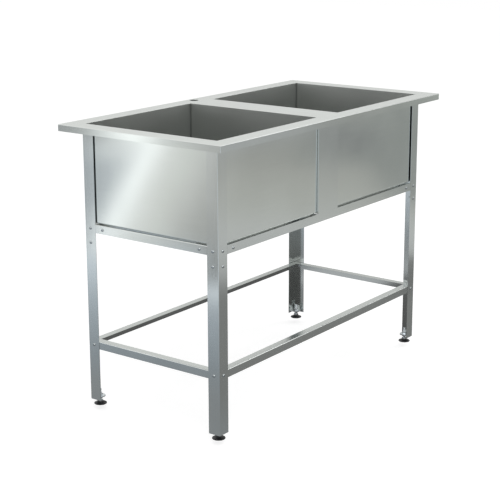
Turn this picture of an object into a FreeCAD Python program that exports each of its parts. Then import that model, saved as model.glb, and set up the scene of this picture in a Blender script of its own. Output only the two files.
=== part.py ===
"""A two-bowl sink unit on a bolted angle frame, with four screw feet.

The floor is z = 0, the middle of the unit is x = y = 0, the front faces -Y.
All lengths are in millimetres.
"""

import FreeCAD, Part
import os
import re
import Sketcher

# ---------------------------------------------------------------- driving sizes

SIZES = {
    # top sheet and bowls, inside sizes of a bowl
    "bowl_length": 488,
    "bowl_width": 488,
    "bowl_depth": 294,
    "bowl_gauge": 1,
    "bowl_corner_radius": 3,
    "bowl_floor_radius": 4,
    "land_width": 112,
    "rim_width": 56,
    "top_height": 870,
    "top_gauge": 1,
    "rim_drop": 20,
    "rim_return": 10,
    "rim_corner_radius": 2,
    "rim_edge_radius": 1.5,
    "opening_edge_radius": 0.8,
    "tap_hole_diameter": 28,
    "tap_hole_setback": 26,
    # legs and rails
    "leg_width": 40,
    "leg_gauge": 1.5,
    "leg_fold_radius": 1.5,
    "leg_clearance": 3.5,
    "rail_clearance": 3,
    "leg_foot_height": 17,
    "rail_gauge": 1.5,
    "rail_fold_radius": 2.2,
    "rail_end_gap": 0.3,
    "upper_rail_height": 26,
    "upper_rail_flange": 25,
    "lower_rail_height": 24,
    "lower_rail_flange": 24,
    "lower_rail_top": 207,
    "strip_return": 18,
    "strip_side_gap": 0.3,
    "fold_relief": 1,
    # splice angles inside the legs
    "splice_gauge": 2,
    "splice_length": 86,
    "splice_reach": 45,
    "splice_edge_margin": 2,
    "splice_top_gap": 0.8,
    # frame screws and their flanged nuts
    "screw_diameter": 5,
    "screw_length": 12,
    "screw_head_diameter": 9.5,
    "screw_head_height": 2.8,
    "screw_edge_height": 1.2,
    "screw_shoulder_diameter": 8,
    "screw_shoulder_height": 2.2,
    "screw_crown_diameter": 5,
    "screw_hole_gap": 0.25,
    "screw_thread_gap": 0.05,
    "nut_across_flats": 8,
    "nut_height": 4,
    "nut_flange_diameter": 11,
    "nut_flange_height": 1,
    "leg_screw_spacing": 44,
    "rail_screw_reach": 28,
    # feet
    "pad_diameter": 39,
    "pad_height": 9,
    "pad_edge_height": 2.5,
    "pad_neck_diameter": 18,
    "pad_neck_height": 2,
    "pad_flare_diameter": 25,
    "pad_flare_height": 5,
    "socket_floor": 3,
    "foot_running_gap": 0.3,
    "foot_thread_gap": 0.05,
    "stem_diameter": 8,
    "stem_length": 45,
    "collar_across_flats": 14,
    "collar_height": 4,
    "foot_nut_across_flats": 13,
    "foot_nut_height": 6.5,
    "bracket_height": 24,
    "bracket_gauge": 2.5,
    "bracket_corner_radius": 16,
    # waste outlets
    "outlet_hole_diameter": 53,
    "recess_depth": 5,
    "recess_diameter": 84,
    "recess_slope": 10,
    "strainer_diameter": 72,
    "strainer_gauge": 1.5,
    "strainer_hole_diameter": 8,
    "strainer_hole_circle": 32,
    "skirt_depth": 12,
    "skirt_side_gap": 1,
    "seal_thickness": 1.5,
    "seal_edge_margin": 1,
    "outlet_flange_thickness": 3,
    "outlet_wall": 3,
    "outlet_cup_depth": 30,
    "outlet_tail_diameter": 47.8,
    "outlet_tail_length": 40,
    "hub_diameter": 14,
    "hub_height": 12,
    "arm_thickness": 3,
    "clamp_screw_diameter": 6,
    "clamp_screw_length": 36,
    "clamp_head_diameter": 12,
    "clamp_crown_diameter": 9.6,
    "clamp_head_height": 1.6,
}

# How many drain holes a strainer has.
STRAINER_HOLES = 8

# ------------------------------------------------- sizes that follow from those

HALF_LENGTH = "(land_width / 2 + bowl_length + rim_width)"
HALF_WIDTH = "(bowl_width / 2 + rim_width)"
BOWL_CENTRE = "(land_width / 2 + bowl_length / 2)"
TOP_UNDERSIDE = "(top_height - top_gauge)"
BOWL_FLOOR = "(top_height - bowl_depth)"
BOWL_UNDERSIDE = "(top_height - bowl_depth - bowl_gauge)"
# The bowls hang from the top sheet, clear of the rails under them.
RAIL_TOP = f"({BOWL_UNDERSIDE} - rail_clearance)"
# The legs stand outside the bowls' walls, at a clearance.
LEG_FACE_X = "(land_width / 2 + bowl_length + bowl_gauge + leg_clearance + leg_gauge)"
LEG_FACE_Y = "(bowl_width / 2 + bowl_gauge + leg_clearance + leg_gauge)"
STRIP_HALF = "(land_width / 2 - bowl_gauge - strip_side_gap)"
SPLICE_TOP = f"({RAIL_TOP} - rail_gauge - splice_top_gap)"
RAIL_BOTTOM = f"({RAIL_TOP} - upper_rail_height)"
UPPER_SCREW_Z = f"({RAIL_TOP} - upper_rail_height / 2)"
SECOND_SCREW_Z = f"({UPPER_SCREW_Z} - leg_screw_spacing)"
LOWER_SCREW_Z = "(lower_rail_top - lower_rail_height / 2)"
SCREW_HOLE_RADIUS = "(screw_diameter / 2 + screw_hole_gap)"
STEM_BORE_RADIUS = "(stem_diameter / 2 + foot_thread_gap)"
FOOT_CENTRE = "(leg_width / 2)"
BRACKET_TOP = "(bracket_height + bracket_gauge)"
SEAT = f"({BOWL_FLOOR} - recess_depth)"
SEAT_UNDERSIDE = f"({SEAT} - bowl_gauge)"
STRAINER_BASE = f"({SEAT} + seal_thickness)"
STRAINER_TOP = f"({STRAINER_BASE} + strainer_gauge)"
SKIRT_RADIUS = "(outlet_hole_diameter / 2 - skirt_side_gap)"
OUTLET_TOP = f"({SEAT_UNDERSIDE} - seal_thickness)"
CUP_RADIUS = "(outlet_hole_diameter / 2)"
CUP_FLOOR = f"({OUTLET_TOP} - outlet_cup_depth)"

# ------------------------------------------------------------- document helpers

doc = FreeCAD.newDocument("sink_unit")
sheet = doc.addObject("Spreadsheet::Sheet", "sizes")
for row, (alias, number) in enumerate(SIZES.items(), start=1):
    sheet.set(f"A{row}", alias.replace("_", " "))
    sheet.set(f"B{row}", str(number))
    sheet.setAlias(f"B{row}", alias)
doc.recompute()

parts = []


def tied(text):
    """The expression with each size's name turned into its cell in the sheet."""
    return re.sub(r"[a-z]\w*", lambda word: cell(word.group()), text)


def cell(word):
    return f"sizes.{word}" if word in SIZES else word


def value(text):
    """What an expression comes to now, as a plain number."""
    return float(sheet.evalExpression(tied(text)))


def bind(feature, prop, text):
    feature.setExpression(prop, tied(text))


def new_body(name):
    body = doc.addObject("PartDesign::Body", name)
    body.Label = name
    parts.append(body)
    return body


def place(body, base, turn=0):
    """Stand a body at a point given by expressions, turned about the vertical."""
    body.Placement.Rotation = FreeCAD.Rotation(FreeCAD.Vector(0, 0, 1), turn)
    for axis, text in zip("xyz", base):
        bind(body, f".Placement.Base.{axis}", text)


def sketch_on(body, name, role, height="0"):
    """A sketch on one of the body's own planes, moved along the plane's normal."""
    sketch = body.newObject("Sketcher::SketchObject", name)
    planes = [item for item in body.Origin.OriginFeatures if item.Role == role]
    sketch.AttachmentSupport = [(planes[0], "")]
    sketch.MapMode = "FlatFace"
    bind(sketch, ".AttachmentOffset.Base.z", height)
    return sketch


def fix_point(sketch, index, end, point):
    """Hold one point of a sketch at the two coordinates that expressions give."""
    for kind, text in zip(("DistanceX", "DistanceY"), point):
        rule = Sketcher.Constraint(kind, -1, 1, index, end, value(text))
        bind(sketch, f"Constraints[{sketch.addConstraint(rule)}]", text)


def add_polygon(sketch, points):
    """A closed outline whose corners are pairs of expressions."""
    corners = [FreeCAD.Vector(value(x), value(y), 0) for x, y in points]
    count = len(corners)
    lines = [
        sketch.addGeometry(Part.LineSegment(corners[i], corners[(i + 1) % count]), False)
        for i in range(count)
    ]
    for i, line in enumerate(lines):
        following = lines[(i + 1) % count]
        sketch.addConstraint(Sketcher.Constraint("Coincident", line, 2, following, 1))
    for line, point in zip(lines, points):
        fix_point(sketch, line, 1, point)


def add_box(sketch, low, high):
    add_polygon(sketch, [low, (high[0], low[1]), high, (low[0], high[1])])


def add_circle(sketch, centre, radius):
    middle = FreeCAD.Vector(value(centre[0]), value(centre[1]), 0)
    up = FreeCAD.Vector(0, 0, 1)
    index = sketch.addGeometry(Part.Circle(middle, up, value(radius)), False)
    fix_point(sketch, index, 3, centre)
    rule = Sketcher.Constraint("Radius", index, value(radius))
    bind(sketch, f"Constraints[{sketch.addConstraint(rule)}]", radius)


def add_hexagon(sketch, centre, across_flats):
    """A regular hexagon with two of its flats parallel to the sketch's X."""
    half = f"({across_flats} / 2)"
    side = f"({across_flats} / 2 / sqrt(3))"
    x, y = centre
    corners = [
        (f"{x} + 2 * {side}", y),
        (f"{x} + {side}", f"{y} + {half}"),
        (f"{x} - {side}", f"{y} + {half}"),
        (f"{x} - 2 * {side}", y),
        (f"{x} - {side}", f"{y} - {half}"),
        (f"{x} + {side}", f"{y} - {half}"),
    ]
    add_polygon(sketch, corners)


def pad(body, sketch, depth, reverse=False):
    feature = body.newObject("PartDesign::Pad", f"{sketch.Name}_pad")
    feature.Profile = sketch
    feature.Reversed = reverse
    bind(feature, "Length", depth)
    doc.recompute()
    return feature


def pocket(body, sketch, depth, reverse=False):
    """Cut a sketch into the body, and make sure that it cut something."""
    before = body.Shape.Volume
    feature = body.newObject("PartDesign::Pocket", f"{sketch.Name}_pocket")
    feature.Profile = sketch
    feature.Reversed = reverse
    bind(feature, "Length", depth)
    doc.recompute()
    if body.Shape.Volume >= before:
        raise ValueError(f"{feature.Name} cuts nothing")
    return feature


def revolve(body, sketch, kind="PartDesign::Revolution"):
    """Turn an XZ sketch about its upright axis; kind says whether it adds or cuts."""
    feature = body.newObject(kind, f"{sketch.Name}_turn")
    feature.Profile = sketch
    feature.ReferenceAxis = (sketch, ["V_Axis"])
    feature.Angle = 360
    doc.recompute()
    return feature


def edges_where(shape, test):
    """Names of the edges whose middle point and both ends pass a test."""
    names = []
    for number, edge in enumerate(shape.Edges, start=1):
        ends = [vertex.Point for vertex in edge.Vertexes]
        if all(test(point) for point in ends + [edge.CenterOfMass]):
            names.append(f"Edge{number}")
    return names


def fillet(body, name, test, radius):
    base = body.Tip
    edges = edges_where(base.Shape, test)
    if not edges:
        raise ValueError(f"{name} finds no edge")
    feature = body.newObject("PartDesign::Fillet", name)
    feature.Base = (base, edges)
    bind(feature, "Radius", radius)
    doc.recompute()
    return feature


def hollow(body, name, face_height, gauge):
    """Turn a block into a folded sheet that is open at the given height."""
    base = body.Tip
    names = [
        f"Face{number}"
        for number, face in enumerate(base.Shape.Faces, start=1)
        if near(face.BoundBox.ZMin, face_height) and near(face.BoundBox.ZMax, face_height)
    ]
    feature = body.newObject("PartDesign::Thickness", name)
    feature.Base = (base, names)
    feature.Reversed = True
    bind(feature, "Value", gauge)
    doc.recompute()
    return feature


def near(number, other):
    return abs(number - other) < 1e-4


def negative(text):
    return f"(0 - {text})"


# ---------------------------------------------------------- top sheet and bowls


def make_top_sheet():
    """One folded sheet: rim, land, turned-down edges with a return, three holes."""
    body = new_body("top_sheet")
    outline = sketch_on(body, "top_outline", "XY_Plane", "top_height - rim_drop")
    low = (negative(HALF_LENGTH), negative(HALF_WIDTH))
    add_box(outline, low, (HALF_LENGTH, HALF_WIDTH))
    pad(body, outline, "rim_drop")
    corner_x = value(HALF_LENGTH)
    corner_y = value(HALF_WIDTH)
    fillet(
        body,
        "top_corners",
        lambda p: near(abs(p.x), corner_x) and near(abs(p.y), corner_y),
        "rim_corner_radius",
    )
    top = value("top_height")
    fillet(body, "top_edge", lambda p: near(p.z, top), "rim_edge_radius")
    hollow(body, "top_fold", value("top_height - rim_drop"), "top_gauge")

    inner_x = f"({HALF_LENGTH} - top_gauge)"
    inner_y = f"({HALF_WIDTH} - top_gauge)"
    edge = sketch_on(body, "top_return", "XY_Plane", "top_height - rim_drop")
    add_box(edge, (negative(inner_x), negative(inner_y)), (inner_x, inner_y))
    return_x = f"({inner_x} - rim_return)"
    return_y = f"({inner_y} - rim_return)"
    add_box(edge, (negative(return_x), negative(return_y)), (return_x, return_y))
    pad(body, edge, "top_gauge")

    holes = sketch_on(body, "top_openings", "XY_Plane", "top_height")
    near_side = "(land_width / 2)"
    far_side = "(land_width / 2 + bowl_length)"
    half = "(bowl_width / 2)"
    add_box(holes, (near_side, negative(half)), (far_side, half))
    add_box(holes, (negative(far_side), negative(half)), (negative(near_side), half))
    tap_y = f"({HALF_WIDTH} - tap_hole_setback)"
    add_circle(holes, ("0", tap_y), "tap_hole_diameter / 2")
    pocket(body, holes, "top_gauge")
    corners = (value(near_side), value(far_side))
    corner_y = value(half)
    fillet(
        body,
        "opening_corners",
        lambda p: near(abs(p.y), corner_y) and any(near(abs(p.x), x) for x in corners),
        "bowl_corner_radius - bowl_gauge",
    )
    limit = value(far_side) + value("rim_width") / 2
    fillet(
        body,
        "opening_edges",
        lambda p: near(p.z, top) and abs(p.y) < corner_y + 1e-4 and abs(p.x) < limit,
        "opening_edge_radius",
    )


def make_bowl(name, side):
    """A welded bowl of one gauge, with a recess and a hole for the outlet."""
    body = new_body(name)
    half_x = "(bowl_length / 2 + bowl_gauge)"
    half_y = "(bowl_width / 2 + bowl_gauge)"
    outline = sketch_on(body, f"{name}_outline", "XY_Plane", BOWL_UNDERSIDE)
    add_box(outline, (negative(half_x), negative(half_y)), (half_x, half_y))
    pad(body, outline, f"{TOP_UNDERSIDE} - {BOWL_UNDERSIDE}")
    corner_x = value(half_x)
    corner_y = value(half_y)
    fillet(
        body,
        f"{name}_corners",
        lambda p: near(abs(p.x), corner_x) and near(abs(p.y), corner_y),
        "bowl_corner_radius",
    )
    floor = value(BOWL_UNDERSIDE)
    fillet(body, f"{name}_floor_edge", lambda p: near(p.z, floor), "bowl_floor_radius")
    hollow(body, f"{name}_walls", value(TOP_UNDERSIDE), "bowl_gauge")

    rim = "(recess_diameter / 2 + recess_slope)"
    flat = "(recess_diameter / 2)"
    dish = sketch_on(body, f"{name}_dish", "XZ_Plane")
    outer = [("0", BOWL_UNDERSIDE), (rim, BOWL_UNDERSIDE)]
    outer += [(flat, SEAT_UNDERSIDE), ("0", SEAT_UNDERSIDE)]
    add_polygon(dish, outer)
    revolve(body, dish)
    scoop = sketch_on(body, f"{name}_scoop", "XZ_Plane")
    inner = [("0", BOWL_FLOOR), (rim, BOWL_FLOOR), (flat, SEAT), ("0", SEAT)]
    add_polygon(scoop, inner)
    revolve(body, scoop, "PartDesign::Groove")
    hole = sketch_on(body, f"{name}_hole", "XY_Plane", BOWL_FLOOR)
    add_circle(hole, ("0", "0"), "outlet_hole_diameter / 2")
    pocket(body, hole, f"{BOWL_FLOOR} - {SEAT_UNDERSIDE}")
    place(body, (f"{side} * {BOWL_CENTRE}", "0", "0"))


# ----------------------------------------------------------------- angle frame

# Each leg stands at a corner of the frame and is turned so that its two flanges
# run along the frame's sides.
LEGS = {
    "front_left": (-1, -1, 0),
    "front_right": (1, -1, 90),
    "rear_right": (1, 1, 180),
    "rear_left": (-1, 1, 270),
}


def place_at_leg(body, leg):
    side_x, side_y, turn = LEGS[leg]
    place(body, (f"{side_x} * {LEG_FACE_X}", f"{side_y} * {LEG_FACE_Y}", "0"), turn)


def angle_outline(sketch, start, end, gauge):
    """The plan of an angle whose outer corner is at (start, start)."""
    inside = f"({start} + {gauge})"
    points = [(start, start), (end, start), (end, inside)]
    points += [(inside, inside), (inside, end), (start, end)]
    add_polygon(sketch, points)


def drill(body, name, role, spots, depth, height="0", reverse=False):
    """Round holes for frame screws in one face of a piece."""
    sketch = sketch_on(body, name, role, height)
    for spot in spots:
        add_circle(sketch, spot, SCREW_HOLE_RADIUS)
    pocket(body, sketch, depth, reverse)


LEG_SCREWS = [("leg_width / 2", z) for z in (UPPER_SCREW_Z, SECOND_SCREW_Z)]
LOWER_SCREW = ("leg_width / 2", LOWER_SCREW_Z)
RAIL_SCREW = ("(leg_width + rail_screw_reach)", UPPER_SCREW_Z)


def make_leg(leg):
    name = f"{leg}_leg"
    body = new_body(name)
    plan = sketch_on(body, f"{name}_plan", "XY_Plane", "leg_foot_height")
    angle_outline(plan, "0", "leg_width", "leg_gauge")
    pad(body, plan, f"{TOP_UNDERSIDE} - leg_foot_height")
    fillet(body, f"{name}_fold", lambda p: near(p.x, 0) and near(p.y, 0), "leg_fold_radius")
    spots = LEG_SCREWS + [LOWER_SCREW]
    drill(body, f"{name}_holes", "XZ_Plane", spots, "leg_gauge")
    drill(body, f"{name}_side_holes", "YZ_Plane", spots, "leg_gauge", reverse=True)
    place_at_leg(body, leg)


def make_splice(leg):
    """The angle behind a leg and the two upper rails' ends, wider at the rails."""
    name = f"{leg}_splice"
    body = new_body(name)
    end = "(leg_width - splice_edge_margin)"
    plan = sketch_on(body, f"{name}_plan", "XY_Plane", f"{SPLICE_TOP} - splice_length")
    angle_outline(plan, "leg_gauge", end, "splice_gauge")
    pad(body, plan, "splice_length")
    wide = sketch_on(body, f"{name}_wings", "XY_Plane", f"{RAIL_BOTTOM} + splice_edge_margin")
    angle_outline(wide, "leg_gauge", "(leg_width + splice_reach)", "splice_gauge")
    pad(body, wide, f"{SPLICE_TOP} - {RAIL_BOTTOM} - splice_edge_margin")
    spots = LEG_SCREWS + [RAIL_SCREW]
    through = "leg_gauge + splice_gauge"
    drill(body, f"{name}_holes", "XZ_Plane", spots, through)
    drill(body, f"{name}_side_holes", "YZ_Plane", spots, through, reverse=True)
    place_at_leg(body, leg)


# Each rail is drawn along X with its outer face at -Y, then turned to its side.
RAILS = {
    "front": (LEG_FACE_X, LEG_FACE_Y, 0),
    "right": (LEG_FACE_Y, LEG_FACE_X, 90),
    "rear": (LEG_FACE_X, LEG_FACE_Y, 180),
    "left": (LEG_FACE_Y, LEG_FACE_X, 270),
}


def make_upper_rail(side):
    """An angle flush with the legs; the long ones carry the strip between bowls."""
    corner, face, turn = RAILS[side]
    name = f"{side}_upper_rail"
    body = new_body(name)
    outer = negative(face)
    half = f"({corner} - leg_width - rail_end_gap)"
    has_strip = side in ("front", "rear")
    web = sketch_on(body, f"{name}_web", "XZ_Plane", face)
    points = [(negative(half), RAIL_BOTTOM), (half, RAIL_BOTTOM), (half, RAIL_TOP)]
    if has_strip:
        points += [(STRIP_HALF, RAIL_TOP), (STRIP_HALF, TOP_UNDERSIDE)]
        points += [(negative(STRIP_HALF), TOP_UNDERSIDE), (negative(STRIP_HALF), RAIL_TOP)]
    points += [(negative(half), RAIL_TOP)]
    add_polygon(web, points)
    pad(body, web, "rail_gauge", reverse=True)

    flange = sketch_on(body, f"{name}_flange", "XY_Plane", f"{RAIL_TOP} - rail_gauge")
    back = f"({outer} + upper_rail_flange)"
    if has_strip:
        gap = f"({STRIP_HALF} + fold_relief)"
        add_box(flange, (gap, outer), (half, back))
        add_box(flange, (negative(half), outer), (negative(gap), back))
    else:
        add_box(flange, (negative(half), outer), (half, back))
    pad(body, flange, "rail_gauge")
    if has_strip:
        sides = sketch_on(body, f"{name}_sides", "XY_Plane", f"{RAIL_TOP} + fold_relief")
        inside = f"({STRIP_HALF} - rail_gauge)"
        deep = f"({outer} + strip_return)"
        add_box(sides, (inside, outer), (STRIP_HALF, deep))
        add_box(sides, (negative(STRIP_HALF), outer), (negative(inside), deep))
        pad(body, sides, f"{TOP_UNDERSIDE} - {RAIL_TOP} - fold_relief")
    else:
        round_fold(body, name, value(outer), value(RAIL_TOP))
    spot_x = f"({corner} - {RAIL_SCREW[0]})"
    spots = [(spot_x, UPPER_SCREW_Z), (negative(spot_x), UPPER_SCREW_Z)]
    drill(body, f"{name}_holes", "XZ_Plane", spots, "rail_gauge", face)
    place(body, ("0", "0", "0"), turn)


def make_lower_rail(side):
    """A small angle inside the legs, mitred where it meets the next one."""
    corner, face, turn = RAILS[side]
    name = f"{side}_lower_rail"
    body = new_body(name)
    outer = f"({face} - leg_gauge)"
    half = f"({corner} - leg_gauge - rail_end_gap)"
    web = sketch_on(body, f"{name}_web", "XY_Plane", "lower_rail_top - lower_rail_height")
    add_mitred_strip(web, half, outer, "rail_gauge")
    pad(body, web, "lower_rail_height")
    flange = sketch_on(body, f"{name}_flange", "XY_Plane", "lower_rail_top - rail_gauge")
    add_mitred_strip(flange, half, outer, "lower_rail_flange")
    pad(body, flange, "rail_gauge")
    round_fold(body, name, -value(outer), value("lower_rail_top"))
    spot_x = f"({corner} - {LOWER_SCREW[0]})"
    spots = [(spot_x, LOWER_SCREW_Z), (negative(spot_x), LOWER_SCREW_Z)]
    drill(body, f"{name}_holes", "XZ_Plane", spots, "rail_gauge", outer)
    place(body, ("0", "0", "0"), turn)


def round_fold(body, name, fold_y, fold_z):
    """Round a rail's fold outside, and inside by one gauge less."""
    gauge = value("rail_gauge")
    fillet(
        body,
        f"{name}_fold",
        lambda p: near(p.y, fold_y) and near(p.z, fold_z),
        "rail_fold_radius",
    )
    fillet(
        body,
        f"{name}_fold_inside",
        lambda p: near(p.y, fold_y + gauge) and near(p.z, fold_z - gauge),
        "rail_fold_radius - rail_gauge",
    )


def add_mitred_strip(sketch, half, outer, width):
    """The plan of a strip along X whose ends are cut at 45 degrees."""
    front = negative(outer)
    back = f"({front} + {width})"
    short = f"({half} - {width})"
    points = [(negative(half), front), (half, front), (short, back), (negative(short), back)]
    add_polygon(sketch, points)


# ------------------------------------------------------------------ frame screws


def make_master(name, build):
    """A piece that is copied into a group and isn't written by itself."""
    body = doc.addObject("PartDesign::Body", name)
    build(body, name)
    doc.recompute()
    return body


def build_screw(body, name):
    """A domed screw: its head's underside is at z = 0 and its shank points up."""
    profile = sketch_on(body, f"{name}_profile", "XZ_Plane")
    head = "(screw_head_diameter / 2)"
    shank = "(screw_diameter / 2)"
    points = [
        ("0", negative("screw_head_height")),
        ("screw_crown_diameter / 2", negative("screw_head_height")),
        ("screw_shoulder_diameter / 2", negative("screw_shoulder_height")),
        (head, negative("screw_edge_height")),
        (head, "0"),
        (shank, "0"),
        (shank, "screw_length"),
        ("0", "screw_length"),
    ]
    add_polygon(profile, points)
    revolve(body, profile)


def build_nut(body, name):
    """A flanged nut whose flange rests on z = 0."""
    flange = sketch_on(body, f"{name}_flange", "XY_Plane")
    bore = "(screw_diameter / 2 + screw_thread_gap)"
    add_circle(flange, ("0", "0"), "nut_flange_diameter / 2")
    add_circle(flange, ("0", "0"), bore)
    pad(body, flange, "nut_flange_height")
    flats = sketch_on(body, f"{name}_flats", "XY_Plane")
    add_hexagon(flats, ("0", "0"), "nut_across_flats")
    add_circle(flats, ("0", "0"), bore)
    pad(body, flats, "nut_height")


def build_foot_nut(body, name):
    flats = sketch_on(body, f"{name}_flats", "XY_Plane")
    add_hexagon(flats, ("0", "0"), "foot_nut_across_flats")
    add_circle(flats, ("0", "0"), STEM_BORE_RADIUS)
    pad(body, flats, "foot_nut_height")


def leg_frame(leg):
    side_x, side_y, turn = LEGS[leg]
    base = FreeCAD.Vector(side_x * value(LEG_FACE_X), side_y * value(LEG_FACE_Y), 0)
    return FreeCAD.Placement(base, FreeCAD.Rotation(FreeCAD.Vector(0, 0, 1), turn))


def face_frames(spot, depth):
    """Places on a leg's two outer faces, with local Z pointing into the leg."""
    along = value(spot[0])
    height = value(spot[1])
    inwards = value(depth)
    front = FreeCAD.Rotation(FreeCAD.Vector(1, 0, 0), -90)
    end = FreeCAD.Rotation(FreeCAD.Vector(0, 1, 0), 90)
    return [
        FreeCAD.Placement(FreeCAD.Vector(along, inwards, height), front),
        FreeCAD.Placement(FreeCAD.Vector(inwards, along, height), end),
    ]


def make_group(name, master, frames):
    """A node of separate solids, one copy of the master in each frame."""
    copies = []
    for frame in frames:
        copy = master.Shape.copy()
        copy.Placement = frame
        copies.append(copy)
    group = doc.addObject("Part::Feature", name)
    group.Label = name
    group.Shape = Part.makeCompound(copies)
    parts.append(group)


def frames_at_legs(spots, depth):
    return [
        leg_frame(leg).multiply(frame)
        for leg in LEGS
        for spot in spots
        for frame in face_frames(spot, depth)
    ]


def make_frame_screws():
    screw = make_master("screw_master", build_screw)
    nut = make_master("nut_master", build_nut)
    upper = LEG_SCREWS + [RAIL_SCREW]
    make_group("upper_frame_screws", screw, frames_at_legs(upper, "0"))
    make_group("upper_frame_nuts", nut, frames_at_legs(upper, "leg_gauge + splice_gauge"))
    make_group("lower_frame_screws", screw, frames_at_legs([LOWER_SCREW], "0"))
    make_group(
        "lower_frame_nuts", nut, frames_at_legs([LOWER_SCREW], "leg_gauge + rail_gauge")
    )


# ------------------------------------------------------------------------- feet


def make_foot_bracket(leg):
    """A plate welded to both flanges, its free corner round about the stem."""
    name = f"{leg}_foot_bracket"
    body = new_body(name)
    inner = "leg_gauge"
    end = f"({FOOT_CENTRE} + bracket_corner_radius)"
    plate = sketch_on(body, f"{name}_plate", "XY_Plane", "bracket_height")
    add_box(plate, (inner, inner), (end, end))
    pad(body, plate, "bracket_gauge")
    corner = value(end)
    fillet(
        body,
        f"{name}_free_corner",
        lambda p: near(p.x, corner) and near(p.y, corner),
        "bracket_corner_radius",
    )
    hole = sketch_on(body, f"{name}_hole", "XY_Plane", BRACKET_TOP)
    add_circle(hole, (FOOT_CENTRE, FOOT_CENTRE), "stem_diameter / 2 + screw_hole_gap")
    pocket(body, hole, "bracket_gauge")
    place_at_leg(body, leg)


def place_at_foot(body, leg):
    """The foot's axis is in the middle of the leg's square."""
    side_x, side_y, turn = LEGS[leg]
    x = f"{side_x} * ({LEG_FACE_X} - {FOOT_CENTRE})"
    y = f"{side_y} * ({LEG_FACE_Y} - {FOOT_CENTRE})"
    place(body, (x, y, "0"), turn)


def make_foot_pad(leg):
    """A flared pad with a blind socket that the stem turns in."""
    name = f"{leg}_foot_pad"
    body = new_body(name)
    edge = "(pad_diameter / 2)"
    neck = "(pad_neck_diameter / 2)"
    shoulder = "(pad_height - pad_neck_height)"
    profile = sketch_on(body, f"{name}_profile", "XZ_Plane")
    points = [
        ("0", "0"),
        (edge, "0"),
        (edge, "pad_edge_height"),
        ("pad_flare_diameter / 2", "pad_flare_height"),
        (neck, shoulder),
        (neck, "pad_height"),
        (STEM_BORE_RADIUS, "pad_height"),
        (STEM_BORE_RADIUS, "socket_floor"),
        ("0", "socket_floor"),
    ]
    add_polygon(profile, points)
    revolve(body, profile)
    place_at_foot(body, leg)


def make_foot_stem(leg):
    """A threaded stem with a six-sided collar just above the pad."""
    name = f"{leg}_foot_stem"
    body = new_body(name)
    shank = sketch_on(body, f"{name}_shank", "XY_Plane", "socket_floor + foot_running_gap")
    add_circle(shank, ("0", "0"), "stem_diameter / 2")
    pad(body, shank, "stem_length")
    collar = sketch_on(body, f"{name}_collar", "XY_Plane", "pad_height + foot_running_gap")
    add_hexagon(collar, ("0", "0"), "collar_across_flats")
    pad(body, collar, "collar_height")
    place_at_foot(body, leg)


def make_foot_nuts():
    nut = make_master("foot_nut_master", build_foot_nut)
    across = value(FOOT_CENTRE)
    for name, text in (
        ("foot_weld_nuts", BRACKET_TOP),
        ("foot_lock_nuts", "bracket_height - foot_nut_height"),
    ):
        spot = FreeCAD.Placement(FreeCAD.Vector(across, across, value(text)), FreeCAD.Rotation())
        make_group(name, nut, [leg_frame(leg).multiply(spot) for leg in LEGS])


# ---------------------------------------------------------------- waste outlets


def place_at_outlet(body, side):
    place(body, (f"{side} * {BOWL_CENTRE}", "0", "0"))


def make_strainer(bowl, side):
    """A round flange with drain holes and a skirt that goes down into the cup."""
    name = f"{bowl}_strainer"
    body = new_body(name)
    disc = sketch_on(body, f"{name}_disc", "XY_Plane", STRAINER_BASE)
    add_circle(disc, ("0", "0"), "strainer_diameter / 2")
    add_circle(disc, ("0", "0"), "clamp_screw_diameter / 2 + screw_hole_gap")
    pad(body, disc, "strainer_gauge")
    skirt = sketch_on(body, f"{name}_skirt", "XY_Plane", f"{STRAINER_BASE} - skirt_depth")
    add_circle(skirt, ("0", "0"), SKIRT_RADIUS)
    add_circle(skirt, ("0", "0"), f"{SKIRT_RADIUS} - strainer_gauge")
    pad(body, skirt, "skirt_depth")
    hole = sketch_on(body, f"{name}_hole", "XY_Plane", STRAINER_TOP)
    add_circle(hole, ("strainer_hole_circle / 2", "0"), "strainer_hole_diameter / 2")
    first = pocket(body, hole, "strainer_gauge")
    ring = body.newObject("PartDesign::PolarPattern", f"{name}_holes")
    ring.Originals = [first]
    ring.Axis = (hole, ["N_Axis"])
    ring.Angle = 360
    ring.Occurrences = STRAINER_HOLES
    body.Tip = ring
    place_at_outlet(body, side)


def make_seal(name, side, base):
    """A flat ring that fits round the outlet hole, inside the strainer's edge."""
    body = new_body(name)
    ring = sketch_on(body, f"{name}_ring", "XY_Plane", base)
    add_circle(ring, ("0", "0"), "strainer_diameter / 2 - seal_edge_margin")
    add_circle(ring, ("0", "0"), "outlet_hole_diameter / 2 + seal_edge_margin")
    pad(body, ring, "seal_thickness")
    place_at_outlet(body, side)


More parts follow.
